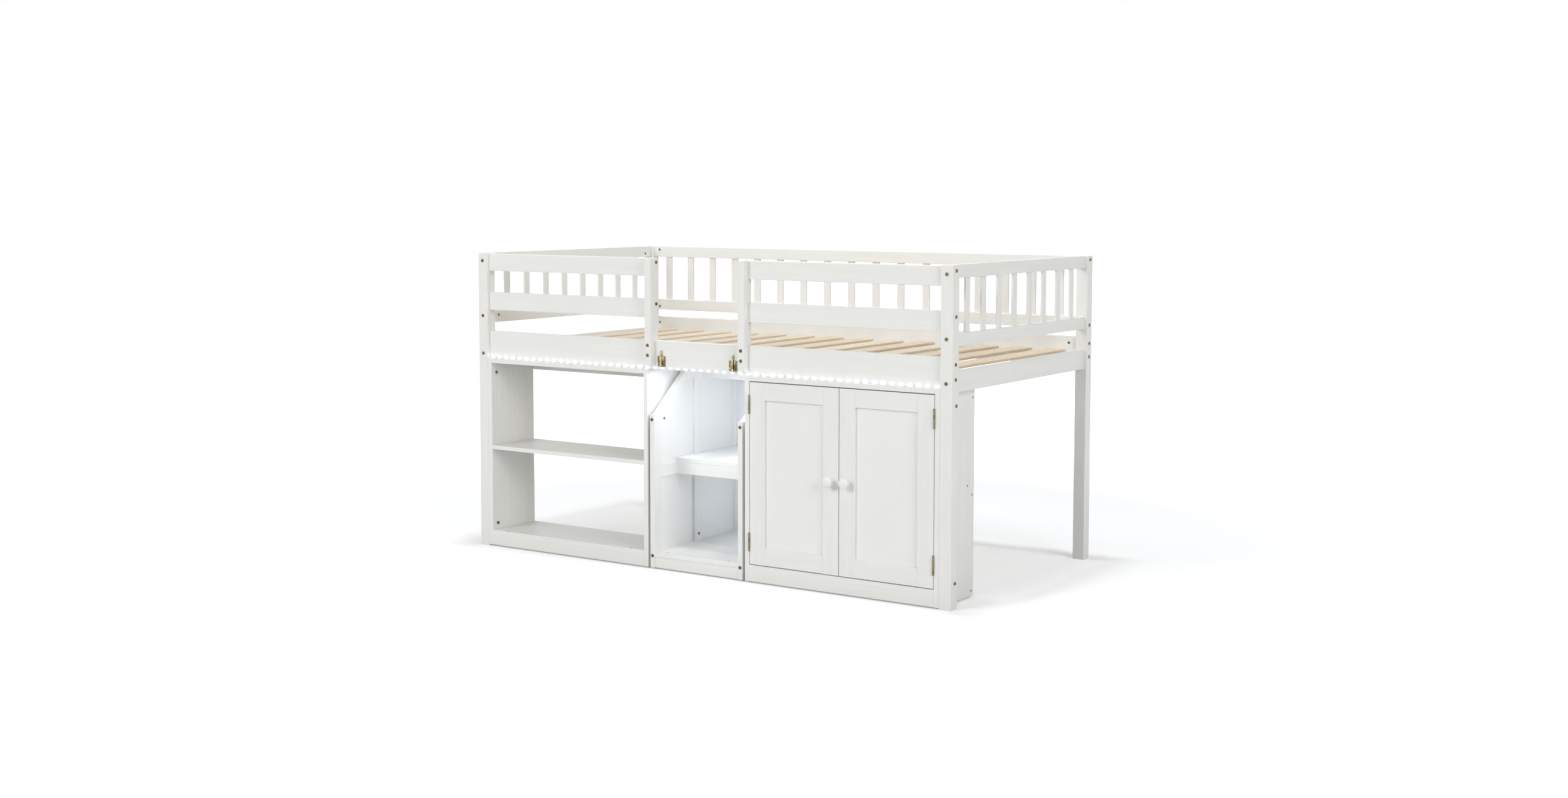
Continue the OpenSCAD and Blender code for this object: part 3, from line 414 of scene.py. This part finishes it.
# %% Pine
pale_plank, warm_plank = (0.690, 0.560, 0.405), (0.780, 0.675, 0.530)
amber, fibre, knot_brown = (0.450, 0.300, 0.180), (0.86, 0.76, 0.62), (0.180, 0.085, 0.040)
bare_pine, tree, shader = new_material("bare_pine", IOR=1.45)
place = add(tree, "TexCoord").outputs["Object"]
wood = add(tree, "Group", {"Place": place}, node_tree=pine)
fibres = noise(tree, mapped(tree, (420, 12, 420)), Detail=4.0, Roughness=0.65)
plank = blend(tree, wood.outputs["Own"], pale_plank, warm_plank)
plank = blend(tree, calc(tree, "MULTIPLY", wood.outputs["Rings"], 0.62), plank, amber)
plank = blend(tree, spread(tree, fibres, 0.35, 0.75, 0.0, 0.22), plank, fibre)
plank = blend(tree, calc(tree, "MULTIPLY", wood.outputs["Knot"], 0.85), plank, knot_brown)
raised = calc(tree, "ADD", fibres, calc(tree, "MULTIPLY", wood.outputs["Rings"], 0.8))
roughness = spread(tree, fibres, 0.3, 0.7, 0.55, 0.70)
normal = relief(tree, raised, 0.4, 0.0002)
wire(tree, shader, {"Base Color": plank, "Roughness": roughness, "Normal": normal})

# %% [markdown]
# ## Metal
#
# The bolt heads are plated in a dark antique bronze that has worn to a lighter brown in
# patches. Hinges and tower bolts are brass that has gone dull and olive, and nearly bare on
# the rods, which hands rub clean. The pressed plates get the darkest brass: real tarnish,
# darkened further by painted shade and painted dark reflections. A metal's colour is its
# reflection colour, so the tone goes to the base colour with Metallic at 1, and fine
# scratches go to the roughness.


# %% Bronze and brass
def aged_metal(name, dark, light, dull, streaks):
    """Plated or rolled metal whose tone drifts from dark to light."""
    material, tree, shader = new_material(name, Metallic=1.0)
    patches = noise(tree, mapped(tree, (90, 90, 90)), Detail=5.0, Roughness=0.6)
    scratches = noise(tree, mapped(tree, streaks), Detail=3.0)
    tone = blend(tree, spread(tree, patches, 0.35, 0.65), dark, light)
    brushed = spread(tree, scratches, 0.3, 0.7, dull, dull + 0.12)
    clouded = spread(tree, patches, 0.3, 0.7, 0.0, 0.08)
    rough = calc(tree, "ADD", brushed, clouded)
    normal = relief(tree, scratches, 0.25, 0.00003)
    wire(tree, shader, {"Base Color": tone, "Roughness": rough, "Normal": normal})
    return material


looks = (
    ("antique_bronze", (0.095, 0.070, 0.042), (0.225, 0.170, 0.105), 0.30, (700, 700, 700)),
    ("dull_brass", (0.240, 0.205, 0.110), (0.470, 0.400, 0.230), 0.26, (900, 900, 60)),
    ("worn_rod_brass", (0.340, 0.310, 0.220), (0.600, 0.550, 0.420), 0.24, (900, 900, 60)),
    ("tarnish_and_painted_shade_brass", (0.105, 0.088, 0.045), (0.230, 0.190, 0.100), 0.34, (500, 500, 90)),
    ("hinge_brass", (0.150, 0.130, 0.070), (0.300, 0.260, 0.150), 0.38, (700, 700, 90)),
)
bronze, brass, worn_brass, dark_brass, hinge_brass = [aged_metal(*look) for look in looks]

# %% [markdown]
# ## Plastic, beech dowels and thin backs
#
# The glides under the units are moulded plastic, the dowels are beech, and the cabinet
# and the staircase are closed at the back by thin board with a printed white foil, which
# is smoother and a touch greyer than the lacquer.


# %% Small finishes
def speckled(name, scale, detail, first, second, sharp=False, bump=None, **values):
    """Two tones mixed by a noise, as (material, shader)."""
    material, tree, shader = new_material(name, **values)
    specks = noise(tree, mapped(tree, scale), Detail=detail)
    share = spread(tree, specks, 0.35, 0.7) if sharp else specks
    wire(tree, shader, {"Base Color": blend(tree, share, first, second)})
    if bump:
        wire(tree, shader, {"Normal": relief(tree, specks, *bump)})
    return material, shader


glide_plastic, _ = speckled(
    "moulded_glide", (600, 600, 600), 2.0, (0.60, 0.60, 0.59), (0.70, 0.70, 0.69),
    bump=(0.3, 0.00005), IOR=1.46, Roughness=0.45,
)
beech, _ = speckled(
    "beech_dowel", (60, 260, 260), 4.0, (0.62, 0.45, 0.30), (0.48, 0.32, 0.20),
    sharp=True, bump=(0.3, 0.0001), Roughness=0.6,
)
foil, _ = speckled(
    "white_foil_back", (260, 260, 7), 4.0, (0.800, 0.800, 0.790), (0.765, 0.765, 0.750),
    sharp=True, bump=(0.15, 0.00005), IOR=1.5, Roughness=0.42,
)

# %% [markdown]
# ## Which solid gets which finish
#
# Solids whose shape is right stay as they were drawn and only change their material.
# The list sorts them by the way their boards run.

# %% Finishes for the solids
finishes = {
    lacquer_x: "front_side_rail back_side_rail back_top_rail back_mid_rail guard_top_rails "
    "guard_mid_rails slat_cleats bookcase_top bookcase_shelf bookcase_floor bookcase_plinth "
    "bookcase_stretchers cabinet_top cabinet_shelf cabinet_floor cabinet_plinth "
    "cabinet_stretchers stair_treads stair_risers",
    lacquer_y: "end_top_rails end_mid_rails end_low_rails stair_side_rails",
    lacquer_z: "front_left_post front_right_post back_left_post back_right_post left_guard_post "
    "right_guard_post end_bars back_bars bookcase_sides cabinet_sides stair_uprights",
    lacquer_plain: "left_door_panel right_door_panel stair_side_panels",
    left_door_lacquer: "left_door_frame",
    right_door_lacquer: "right_door_frame",
    bare_pine: "mattress_slats",
    bronze: "frame_bolts barrel_nuts wood_screws stair_fixings",
    hinge_brass: "hinge_frame_leaves hinge_pins left_hinge_leaves right_hinge_leaves",
    glide_plastic: "unit_glides stair_glides",
    beech: "dowels",
    foil: "cabinet_back stair_back",
}
for material, names in finishes.items():
    for name in names.split():
        nodes[name].data.materials.clear()
        nodes[name].data.materials.append(material)
print("finished solids:", sum(len(names.split()) for names in finishes.values()))

# %% [markdown]
# ## Turned knobs
#
# The door knobs were turned on a lathe: a foot against the door, a slim neck and a head
# like a flattened ball. The same can be done with a disc whose face is extruded and
# resized ring by ring. A solid of few faces would show corners on the bright head, so
# the knob is made anew with 64 sides, and stands for the drawn one.


# %% A lathe
def turned(name, rings, sides=48):
    """A turned piece from its (radius, height) rings in millimetres, along +Z."""
    deselect()
    radius, height = rings[0]
    bpy.ops.mesh.primitive_circle_add(
        vertices=sides, radius=radius / 1000, fill_type="NGON", location=(0, 0, height / 1000)
    )
    piece = bpy.context.object
    piece.name = name
    settle(piece, piece.location)
    edit(piece)
    bpy.ops.mesh.select_all(action="SELECT")
    for next_radius, next_height in rings[1:]:
        extrude(0, 0, (next_height - height) / 1000)
        share = next_radius / radius
        bpy.ops.transform.resize(value=(share, share, 1))
        radius, height = next_radius, next_height
    close_edit()
    return piece


def dome(radius, middle, degrees):
    """Rings of a rounded head, (width, height) in radius, round a middle height."""
    width, height = radius
    angles = [math.radians(angle) for angle in degrees]
    return [(width * math.cos(angle), middle + height * math.sin(angle)) for angle in angles]


# %% Both knobs
foot = [(9.4, 0), (10, 0.4), (10, 2.4), (9.2, 3.1)]
neck = [(7.6, 3.8), (7.0, 5.2), (7.0, 13), (7.4, 16), (9.2, 18.6)]
head = dome((17.95, 5.6), 24.2, range(-40, 90, 8)) + [(0.3, 29.9)]
knob = turned("left_knob_turned", foot + neck + head, sides=64)
left_low, left_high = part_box("left_knob")
right_low, right_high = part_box("right_knob")
twin = copy_of(knob, "right_knob_turned")
for piece, low, high, node, body in (
    (knob, left_low, left_high, "left_knob", "left_door"),
    (twin, right_low, right_high, "right_knob", "right_door"),
):
    middle = (low + high) / 2
    settle(piece, (middle.x, high.y, middle.z), turn=(90, 0, 0))
    piece.data.materials.append(lacquer_plain)
    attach(piece, body)
    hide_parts(node)
print("knob:", tuple(round(v * 1000, 1) for v in left_high - left_low), "mm")

# %% [markdown]
# ## The light strip
#
# A soft white tape is glued along the lower edge of the front side rail, and a small
# chip sits on it every 33 mm. Each chip is a white housing with a shallow window full
# of phosphor, which shines. A cube with its corners eased, an inset and a pushed-in
# face makes it. One chip is modelled, and 58 copies become one object.

# %% One chip and its copies
chips_low, chips_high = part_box("led_chips")
tape_low, tape_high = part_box("led_tape")
chip_side, chip_depth, window_depth = 0.005, 0.0016, 0.0003
chip_count = 58
chip_pitch = (chips_high.x - chips_low.x - chip_side) / (chip_count - 1)
chip_places = [chips_low.x + chip_side / 2 + i * chip_pitch for i in range(chip_count)]
chip_middle = (chips_low + chips_high) / 2
deselect()
bpy.ops.mesh.primitive_cube_add(size=1, scale=(chip_side, chip_depth, chip_side))
chip = bpy.context.object
settle(chip)
edit(chip, "EDGE")
pick_edges(lambda middle, way: abs(way.y) > 0.9)
bpy.ops.mesh.bevel(offset=0.0005, segments=2)
bpy.ops.mesh.select_mode(type="FACE")
pick_faces(lambda middle, normal: normal.y < -0.9)
bpy.ops.mesh.inset(thickness=0.0006)
extrude(0, window_depth, 0)
close_edit(30)

# %% Two finishes on a chip
chip_light = (0.86, 0.93, 1.0, 1)
housing, shader = speckled(
    "chip_housing", (900, 900, 900), 2.0, (0.82, 0.83, 0.84), (0.88, 0.89, 0.90), Roughness=0.4
)
shader.inputs["Emission Color"].default_value = chip_light
shader.inputs["Emission Strength"].default_value = 0.8
phosphor, shader = speckled(
    "lit_phosphor", (1500, 1500, 1500), 2.0, (0.90, 0.93, 0.96), (0.96, 0.97, 1.0), Roughness=0.5
)
shader.inputs["Emission Color"].default_value = chip_light
shader.inputs["Emission Strength"].default_value = 30.0
chip.data.materials.append(housing)
chip.data.materials.append(phosphor)
for face in chip.data.polygons:
    sunk = face.center.y > -chip_depth / 2 + 0.0002
    face.material_index = int(face.normal.y < -0.9 and sunk)
row = [copy_of(chip, f"chip_{i}") for i in range(chip_count)]
for piece, x in zip(row, chip_places):
    settle(piece, (x, chip_middle.y, chip_middle.z))
bpy.data.objects.remove(chip)
chips = join(row, "light_chips")
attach(chips, "bed")
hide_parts("led_chips")
print("chips:", chip_count, "every", round(chip_pitch * 1000, 1), "mm")

# %% [markdown]
# The tape itself is flat, so its finish does the work: white solder mask with a soft glow
# beside each chip, which is painted light standing for the chip's light on the tape, and a
# pair of copper pads at every third chip, where the tape may be cut. The drawn solid
# already has its shape.


# %% The tape's finish
def from_step_middle(tree, value, step, shift):
    """How far a value lies from the middle of its step, as a share of the step."""
    moved = calc(tree, "ADD", calc(tree, "DIVIDE", value, step), shift)
    return calc(tree, "ABSOLUTE", calc(tree, "SUBTRACT", calc(tree, "FRACT", moved), 0.5))


tape, tree, shader = new_material("tape_painted_chip_glow", Roughness=0.45)
place = add(tree, "TexCoord").outputs["Object"]
part = add(tree, "SeparateXYZ", {"Vector": place})
cut_pitch = chip_pitch * 3
along_tape = calc(tree, "SUBTRACT", part.outputs["X"], chips_low.x + chip_side / 2 + chip_pitch / 2)
to_cut = from_step_middle(tree, along_tape, cut_pitch, 0.5)
near_cut = calc(tree, "LESS_THAN", to_cut, 0.0022 / cut_pitch)
off_axis = calc(tree, "ABSOLUTE", calc(tree, "SUBTRACT", part.outputs["Z"], chip_middle.z))
on_pad = calc(tree, "MULTIPLY", near_cut, calc(tree, "COMPARE", off_axis, 0.0019, 0.0009))
to_chip = from_step_middle(tree, along_tape, chip_pitch, 1.0)
tone = blend(tree, on_pad, (0.80, 0.81, 0.82), (0.72, 0.42, 0.22))
shader.inputs["Emission Color"].default_value = (0.88, 0.94, 1.0, 1)
# painted light: the tape glows beside each chip as if lit by it, and fades between chips
glow = spread(tree, to_chip, 0.05, 0.35, 0.8, 0.0)
wire(tree, shader, {"Base Color": tone, "Emission Strength": glow})
nodes["led_tape"].data.materials.clear()
nodes["led_tape"].data.materials.append(tape)
print("tape width:", round((tape_high.z - tape_low.z) * 1000, 1), "mm")

# %% [markdown]
# ## Tower bolts
#
# Two small brass bolts over the staircase drop a rod into it when it is pulled out. Each
# is pressed from sheet: a plate with round corners, a strap bent over the rod like a
# hat, a short guide at the foot, and four cross-headed screws. The strap starts as an
# open cylinder, loses its back half to a bisect, gets legs and feet by extruding its
# two long edges, and then its thickness from a Solidify modifier.

# %% The plate
plates_low, plates_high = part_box("tower_bolt_plates")
rod_low, rod_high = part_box("left_tower_bolt_rod")
rod_axis = Vector(((rod_low.x + rod_high.x) / 2, rod_high.y - 0.003, rod_low.z))
plate_back = plates_high.y
plate_size = Vector((0.034, 0.0015, plates_high.z - plates_low.z))
deselect()
bpy.ops.mesh.primitive_cube_add(size=1, scale=plate_size)
plate = bpy.context.object
settle(plate, (0, plate_back - plate_size.y / 2, (plates_low.z + plates_high.z) / 2))
edit(plate, "EDGE")
pick_edges(lambda middle, way: abs(way.y) > 0.9)
corner_radius, rim_width = 0.0035, 0.0018
bpy.ops.mesh.bevel(offset=corner_radius, segments=6)
bpy.ops.mesh.select_mode(type="FACE")
pick_faces(lambda middle, normal: normal.y < -0.9)
bpy.ops.mesh.inset(thickness=0.0004)
bpy.ops.transform.translate(value=(0, -0.0001, 0))
pick_faces(lambda middle, normal: normal.y < -0.99)
bpy.ops.mesh.inset(thickness=rim_width)
bpy.ops.transform.translate(value=(0, 0.0002, 0))
close_edit(25)
# The plate's darker brass is real tarnish plus painted shade and painted dark reflections.
plate.data.materials.append(dark_brass)
print("plate:", tuple(round(v * 1000, 1) for v in plate_size), "mm")

# %% The straps bent over the rod
strap_radius = 0.0040


def strap(name, low_z, height, foot):
    """A hat-shaped strap round the rod's axis, with feet on the plate."""
    deselect()
    bpy.ops.mesh.primitive_cylinder_add(
        vertices=32, radius=strap_radius, depth=height, end_fill_type="NOTHING"
    )
    piece = bpy.context.object
    piece.name = name
    settle(piece, (0, rod_axis.y, low_z + height / 2))
    edit(piece, "EDGE")
    bpy.ops.mesh.select_all(action="SELECT")
    bpy.ops.mesh.bisect(plane_co=(0, rod_axis.y, 0), plane_no=(0, 1, 0), clear_outer=True)
    face_y = plate_back - plate_size.y - 0.0006
    for sign in (-1, 1):

        def open_edge(middle, way):
            at_side = sign * middle.x > strap_radius - 0.0002
            return abs(way.z) > 0.9 and at_side and middle.y > rod_axis.y - 0.0001

        pick_edges(open_edge)
        extrude(0, face_y - rod_axis.y, 0)
        extrude(sign * foot, 0, 0)
    bpy.ops.mesh.select_all(action="SELECT")
    bpy.ops.mesh.normals_make_consistent(inside=False)
    bpy.ops.object.mode_set(mode="OBJECT")
    apply_modifier(piece, "SOLIDIFY", thickness=0.0011, offset=0.0)
    sharp = math.radians(50)
    apply_modifier(piece, "BEVEL", width=0.0002, segments=2, limit_method="ANGLE", angle_limit=sharp)
    edit(piece)
    close_edit(40)
    return piece


bridge = strap("bridge", plates_low.z + 0.020, 0.015, 0.0060)
guide = strap("guide", plates_low.z + 0.0006, 0.0052, 0.0035)
for piece in (bridge, guide):
    piece.data.materials.append(brass)

# %% A cross-headed screw
deselect()
bpy.ops.mesh.primitive_circle_add(vertices=24, radius=0.0026, fill_type="NGON")
screw_head = bpy.context.object
edit(screw_head)
bpy.ops.mesh.select_all(action="SELECT")
extrude(0, 0, 0.0007)
bpy.ops.transform.resize(value=(0.82, 0.82, 1))
extrude(0, 0, 0.0002)
bpy.ops.transform.resize(value=(0.62, 0.62, 1))
bpy.ops.mesh.inset(thickness=0.0002)
close_edit(30)
deselect()
arm = 0.0009
bpy.ops.mesh.primitive_plane_add(size=arm)
cross = bpy.context.object
edit(cross)
bpy.ops.mesh.select_all(action="SELECT")
extrude(0, 0, 0.0008)
for way_x, way_y in ((1, 0), (-1, 0), (0, 1), (0, -1)):

    def end_face(middle, normal):
        faces_out = normal.x * way_x + normal.y * way_y > 0.9
        return faces_out and abs(middle.x * way_y) < 1e-5 and abs(middle.y * way_x) < 1e-5

    pick_faces(end_face)
    extrude(way_x * arm, way_y * arm, 0)
close_edit(30)
settle(cross, (0, 0, 0.0005))
apply_modifier(screw_head, "BOOLEAN", operation="DIFFERENCE", object=cross, solver="EXACT")
bpy.data.objects.remove(cross)
screw_head.data.materials.clear()
screw_head.data.materials.append(bronze)
print("screw head faces:", len(screw_head.data.polygons))

# %% Both tower bolts' plates
parts = [plate, bridge, guide]
screw_x, screw_z = 0.0112, 0.0085
for x in (-screw_x, screw_x):
    for z in (screw_z, plate_size.z - screw_z):
        head = copy_of(screw_head, "plate_screw")
        place = (x, plate_back - plate_size.y + 0.0002, plates_low.z + z)
        settle(head, place, turn=(90, 0, 30 * (x > 0)))
        parts.append(head)
one = join(parts, "tower_bolt_plate")
other = copy_of(one, "tower_bolt_plate_right")
right_rod_low, right_rod_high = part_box("right_tower_bolt_rod")
settle(one, (rod_axis.x, 0, 0))
settle(other, ((right_rod_low.x + right_rod_high.x) / 2, 0, 0))
plates = join([one, other], "tower_bolt_plates_pressed")
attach(plates, "bed")
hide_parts("tower_bolt_plates")

# %% [markdown]
# The rods are turned: a round bar with a domed tip, and a small ball on a pin to push
# it by. Bar and ball are two turned pieces, joined. Each rod rides on its own slider.

# %% The sliding rods
rod_length = (rod_high.z - rod_low.z) * 1000
foot = [(2.5, 0), (3, 0.6)]
tip = [(3, 3), (2.75, 1.7), (2.0, 0.7), (0.9, 0.15), (0.2, 0)]
bar = turned("rod_bar", foot + [(radius, rod_length - below) for radius, below in tip], sides=40)
reach = (rod_axis.y - rod_low.y) * 1000
stem = [(2, 0), (2, reach - 8.2), (2.6, reach - 7.6), (2.6, reach - 6.9), (2.0, reach - 6.2)]
ball = dome((3.4, 3.4), reach - 3.4, range(-48, 88, 8)) + [(0.2, reach)]
grip = turned("rod_grip", stem + ball, sides=32)
grip_height = 0.013
sliders = {"left_tower_bolt_rod": "left_tower_bolt", "right_tower_bolt_rod": "right_tower_bolt"}
for node, body in sliders.items():
    low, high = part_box(node)
    middle_x = (low.x + high.x) / 2
    upright = settle(copy_of(bar, "bar"), (middle_x, rod_axis.y, low.z))
    grip_place = (middle_x, rod_axis.y, low.z + grip_height)
    pin = settle(copy_of(grip, "grip"), grip_place, turn=(90, 0, 0))
    rod = join([upright, pin], node + "_turned")
    rod.data.materials.clear()
    rod.data.materials.append(worn_brass)
    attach(rod, body)
    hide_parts(node)
for spare in (bar, grip):
    bpy.data.objects.remove(spare)

# %% [markdown]
# ## Hinge screws
#
# Each butt hinge is held by three small screws in either leaf. They are hidden in the
# gap while a door is shut, and show as soon as it opens. The screw made for the tower
# bolts is used again, sunk almost level with the leaf, because the leaves nearly touch.

# %% Screws in the leaves
frame_low, frame_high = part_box("hinge_frame_leaves")
hinge_l, sink, play = 0.062, 0.00083, 0.00015
hinge_bottoms = (frame_low.z, frame_high.z - hinge_l)
left_leaf_low, left_leaf_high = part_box("left_hinge_leaves")
right_leaf_low, right_leaf_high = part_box("right_hinge_leaves")
leaf_y = left_leaf_high.y - 0.0085


def leaf_screws(name, surfaces, body):
    """Screws on the given (x, facing) surfaces of both hinges."""
    made = []
    for x, facing in surfaces:
        for bottom in hinge_bottoms:
            for share, dy in ((0.16, 0.002), (0.5, -0.003), (0.84, 0.002)):
                screw = copy_of(screw_head, "leaf_screw")
                place = (x - facing * sink, leaf_y + dy, bottom + hinge_l * share)
                settle(screw, place, turn=(0, 90 * facing, 0))
                made.append(screw)
    piece = join(made, name)
    piece.data.materials.clear()
    piece.data.materials.append(dark_brass)
    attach(piece, body)
    return piece


left_gap = (left_leaf_low.x + left_leaf_high.x) / 2
right_gap = (right_leaf_low.x + right_leaf_high.x) / 2
leaf_screws("hinge_screws_in_sides", ((left_gap - play, 1), (right_gap + play, -1)), "bed")
leaf_screws("hinge_screws_left_door", ((left_gap + play, -1),), "left_door")
leaf_screws("hinge_screws_right_door", ((right_gap - play, 1),), "right_door")
bpy.data.objects.remove(screw_head)
print("hinge gaps at:", round(left_gap, 4), round(right_gap, 4))

# %% [markdown]
# ## The floor and the white room
#
# The photograph has no room: the background is plain white and the floor only shows as
# a soft shadow. A backdrop curved up behind the bed could give that, but its bend shows
# in views from the side. So the floor is one wide sheet that glows a little, and only
# where a ray comes from the camera, a reflection or a clear material: lit floor then
# reaches white while the shadow stays. The glow grows with the distance from the bed,
# so that the floor runs into the white world without an edge. The world is white to the
# same rays and a soft grey for all other light.


# %% Floor
def seen(tree):
    """1 for rays from the camera, a reflection or a clear material, else 0."""
    path = add(tree, "LightPath")
    clear = calc(tree, "MAXIMUM", path.outputs["Is Glossy Ray"], path.outputs["Is Transmission Ray"])
    return calc(tree, "MAXIMUM", path.outputs["Is Camera Ray"], clear)


deselect()
floor_size, lit_reach, full_reach = 60, 1.6, 3.2
bpy.ops.mesh.primitive_plane_add(size=floor_size)
floor = bpy.context.object
floor.name = "studio_floor"
floor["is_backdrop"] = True
paper, tree, shader = new_material("studio_floor", Roughness=0.9)
direct = seen(tree)
place = add(tree, "TexCoord").outputs["Object"]
distance = add(tree, "VectorMath", {0: place}, operation="LENGTH").outputs["Value"]
glow = spread(tree, spread(tree, distance, lit_reach, full_reach), 0, 1, 0.21, 1.0)
shader.inputs["Specular IOR Level"].default_value = 0.0
shader.inputs["Emission Color"].default_value = (1, 1, 1, 1)
tone = blend(tree, direct, (0.60, 0.60, 0.60), (0.90, 0.90, 0.90))
wire(tree, shader, {"Base Color": tone, "Emission Strength": calc(tree, "MULTIPLY", direct, glow)})
floor.data.materials.append(paper)

# %% World
world = bpy.data.worlds.new("white_room")
bpy.context.scene.world = world
world.use_nodes = True
tree = world.node_tree
room = tree.nodes["Background"]
room.inputs["Color"].default_value = (1, 1, 1, 1)
wire(tree, room, {"Strength": spread(tree, seen(tree), 0, 1, 0.40, 1.0)})

# %% [markdown]
# ## Lamps
#
# A big soft lamp at the front left does most of the work, a weaker one from the right
# keeps the end of the bed from going dull, and a distant one overhead lays the shadow on
# the floor: being small for its distance, it draws the shadow's edge narrow. A weak cool
# lamp close over the deck lifts the slats and the inside of the back.


# %% Soft lamps
def hang(name, data, place, aim=None):
    """Hangs a lamp, turned towards a point where one is given, unseen by the camera."""
    thing = bpy.data.objects.new(name, data)
    thing.location = place
    if aim is not None:
        thing.rotation_euler = (Vector(aim) - Vector(place)).to_track_quat("-Z", "Y").to_euler()
    thing.visible_camera = False
    bpy.context.scene.collection.objects.link(thing)


def lamp(name, place, aim, size, power, colour=(1, 1, 1)):
    """A rectangular lamp that shines from a place towards a point."""
    data = bpy.data.lights.new(name, "AREA")
    data.shape = "RECTANGLE"
    data.size, data.size_y = size
    data.energy = power
    data.color = colour
    hang(name, data, place, aim)


bed_middle = (0, 0, 0.5)
lamp("key", (-4.5, -10.0, 5.0), bed_middle, (5.0, 4.0), 500)
lamp("fill", (9.0, -4.0, 4.0), bed_middle, (4.0, 4.0), 345)
lamp("top", (0, 0.02, 9.0), (0, 0.02, 0.0), (1.5, 0.7), 265, (0.92, 0.96, 1.0))
lamp("deck", (0, 0.02, 2.3), (0, 0.35, 0.9), (1.8, 0.3), 4.5, (0.86, 0.93, 1.0))

# %% [markdown]
# ## Light from the strip
#
# The chips glow by their own material, but a glowing face the size of a grain lights
# its neighbours only in specks. So each chip gets a tiny point lamp of its own, which
# draws its round patch on the rail, weaker over the staircase, where a row of patches
# would run together. Into the staircase the strip shines as a thin lamp just under the
# rail: it hangs level with the top step's board, so when the staircase is pulled out the
# board closes round it and the step isn't glaring. A second thin lamp lights the front
# edges, two soft ones on the right wall stand for light that bounces between the white
# sides, and two narrow spots from the front catch the edges of the inner uprights.

# %% One lamp for each chip, and the staircase's own
cool = (0.77, 0.85, 1.0)
bay_half = 0.18
front_y = corner.y
strip_z = chip_middle.z
hidden_z = strip_z - 0.0177  # level with the top step's board
sparks = {}
for name, power in (("chip_glow", 0.0017), ("bay_chip_glow", 0.0002)):
    spark = bpy.data.lights.new(name, "POINT")
    spark.energy = power
    spark.color = cool
    spark.shadow_soft_size = 0.0015
    sparks[name] = spark
for x in chip_places:
    name = "bay_chip_glow" if abs(x) < bay_half else "chip_glow"
    hang(name, sparks[name], (x, front_y + 0.005, strip_z))
inwards, downwards = (0, front_y + 0.22, strip_z - 0.40), (0, front_y - 0.010, strip_z - 0.40)
left_wall, left_back = (-0.86, front_y + 0.69, 0.23), (-0.60, front_y + 0.74, 0.20)
lamp("stair_glow", (0, front_y + 0.015, hidden_z), inwards, (0.34, 0.006), 0.53, cool)
lamp("edge_glow", (0, front_y - 0.014, hidden_z), downwards, (0.40, 0.006), 0.08, cool)
lamp("bay_fill", (0.140, front_y + 0.29, 0.58), left_wall, (0.16, 0.12), 0.33, cool)
lamp("step_fill", (0.148, front_y + 0.34, 0.235), left_back, (0.16, 0.14), 0.31, cool)
for name, height, power in (("bay_spot", 0.53, 100), ("step_spot", 0.22, 60)):
    data = bpy.data.lights.new(name, "SPOT")
    data.energy = power
    data.color = cool
    data.shadow_soft_size = 0.15
    data.spot_size = math.radians(6)
    data.spot_blend = 0.4
    hang(name, data, (0.2, -3.9, height + 0.45), (0, front_y, height))

# %% [markdown]
# ## The camera
#
# The photograph was taken from the front right, a little above the guard rails, with a
# fairly long lens. Place, turn and lens were worked out from the bed's own corners.

# %% Camera
camera_data = bpy.data.cameras.new("camera")
camera = bpy.data.objects.new("camera", camera_data)
bpy.context.scene.collection.objects.link(camera)
camera.location = (3.82223, -5.67105, 1.33844)
camera.rotation_euler = [math.radians(angle) for angle in (90 - 4.48101, -0.078, 33.78731)]
camera_data.lens = 42.76135
camera_data.sensor_width = 36
camera_data.shift_y = -0.04
bpy.context.scene.camera = camera
bpy.context.scene.view_settings.view_transform = "Standard"

# %% [markdown]
# ## Measuring the result
#
# The dressed bed must fill the same box as the drawn one, so its box is printed at the end.

# %% Sizes
low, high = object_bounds()
print("box now:", tuple(round(v, 4) for v in high - low))
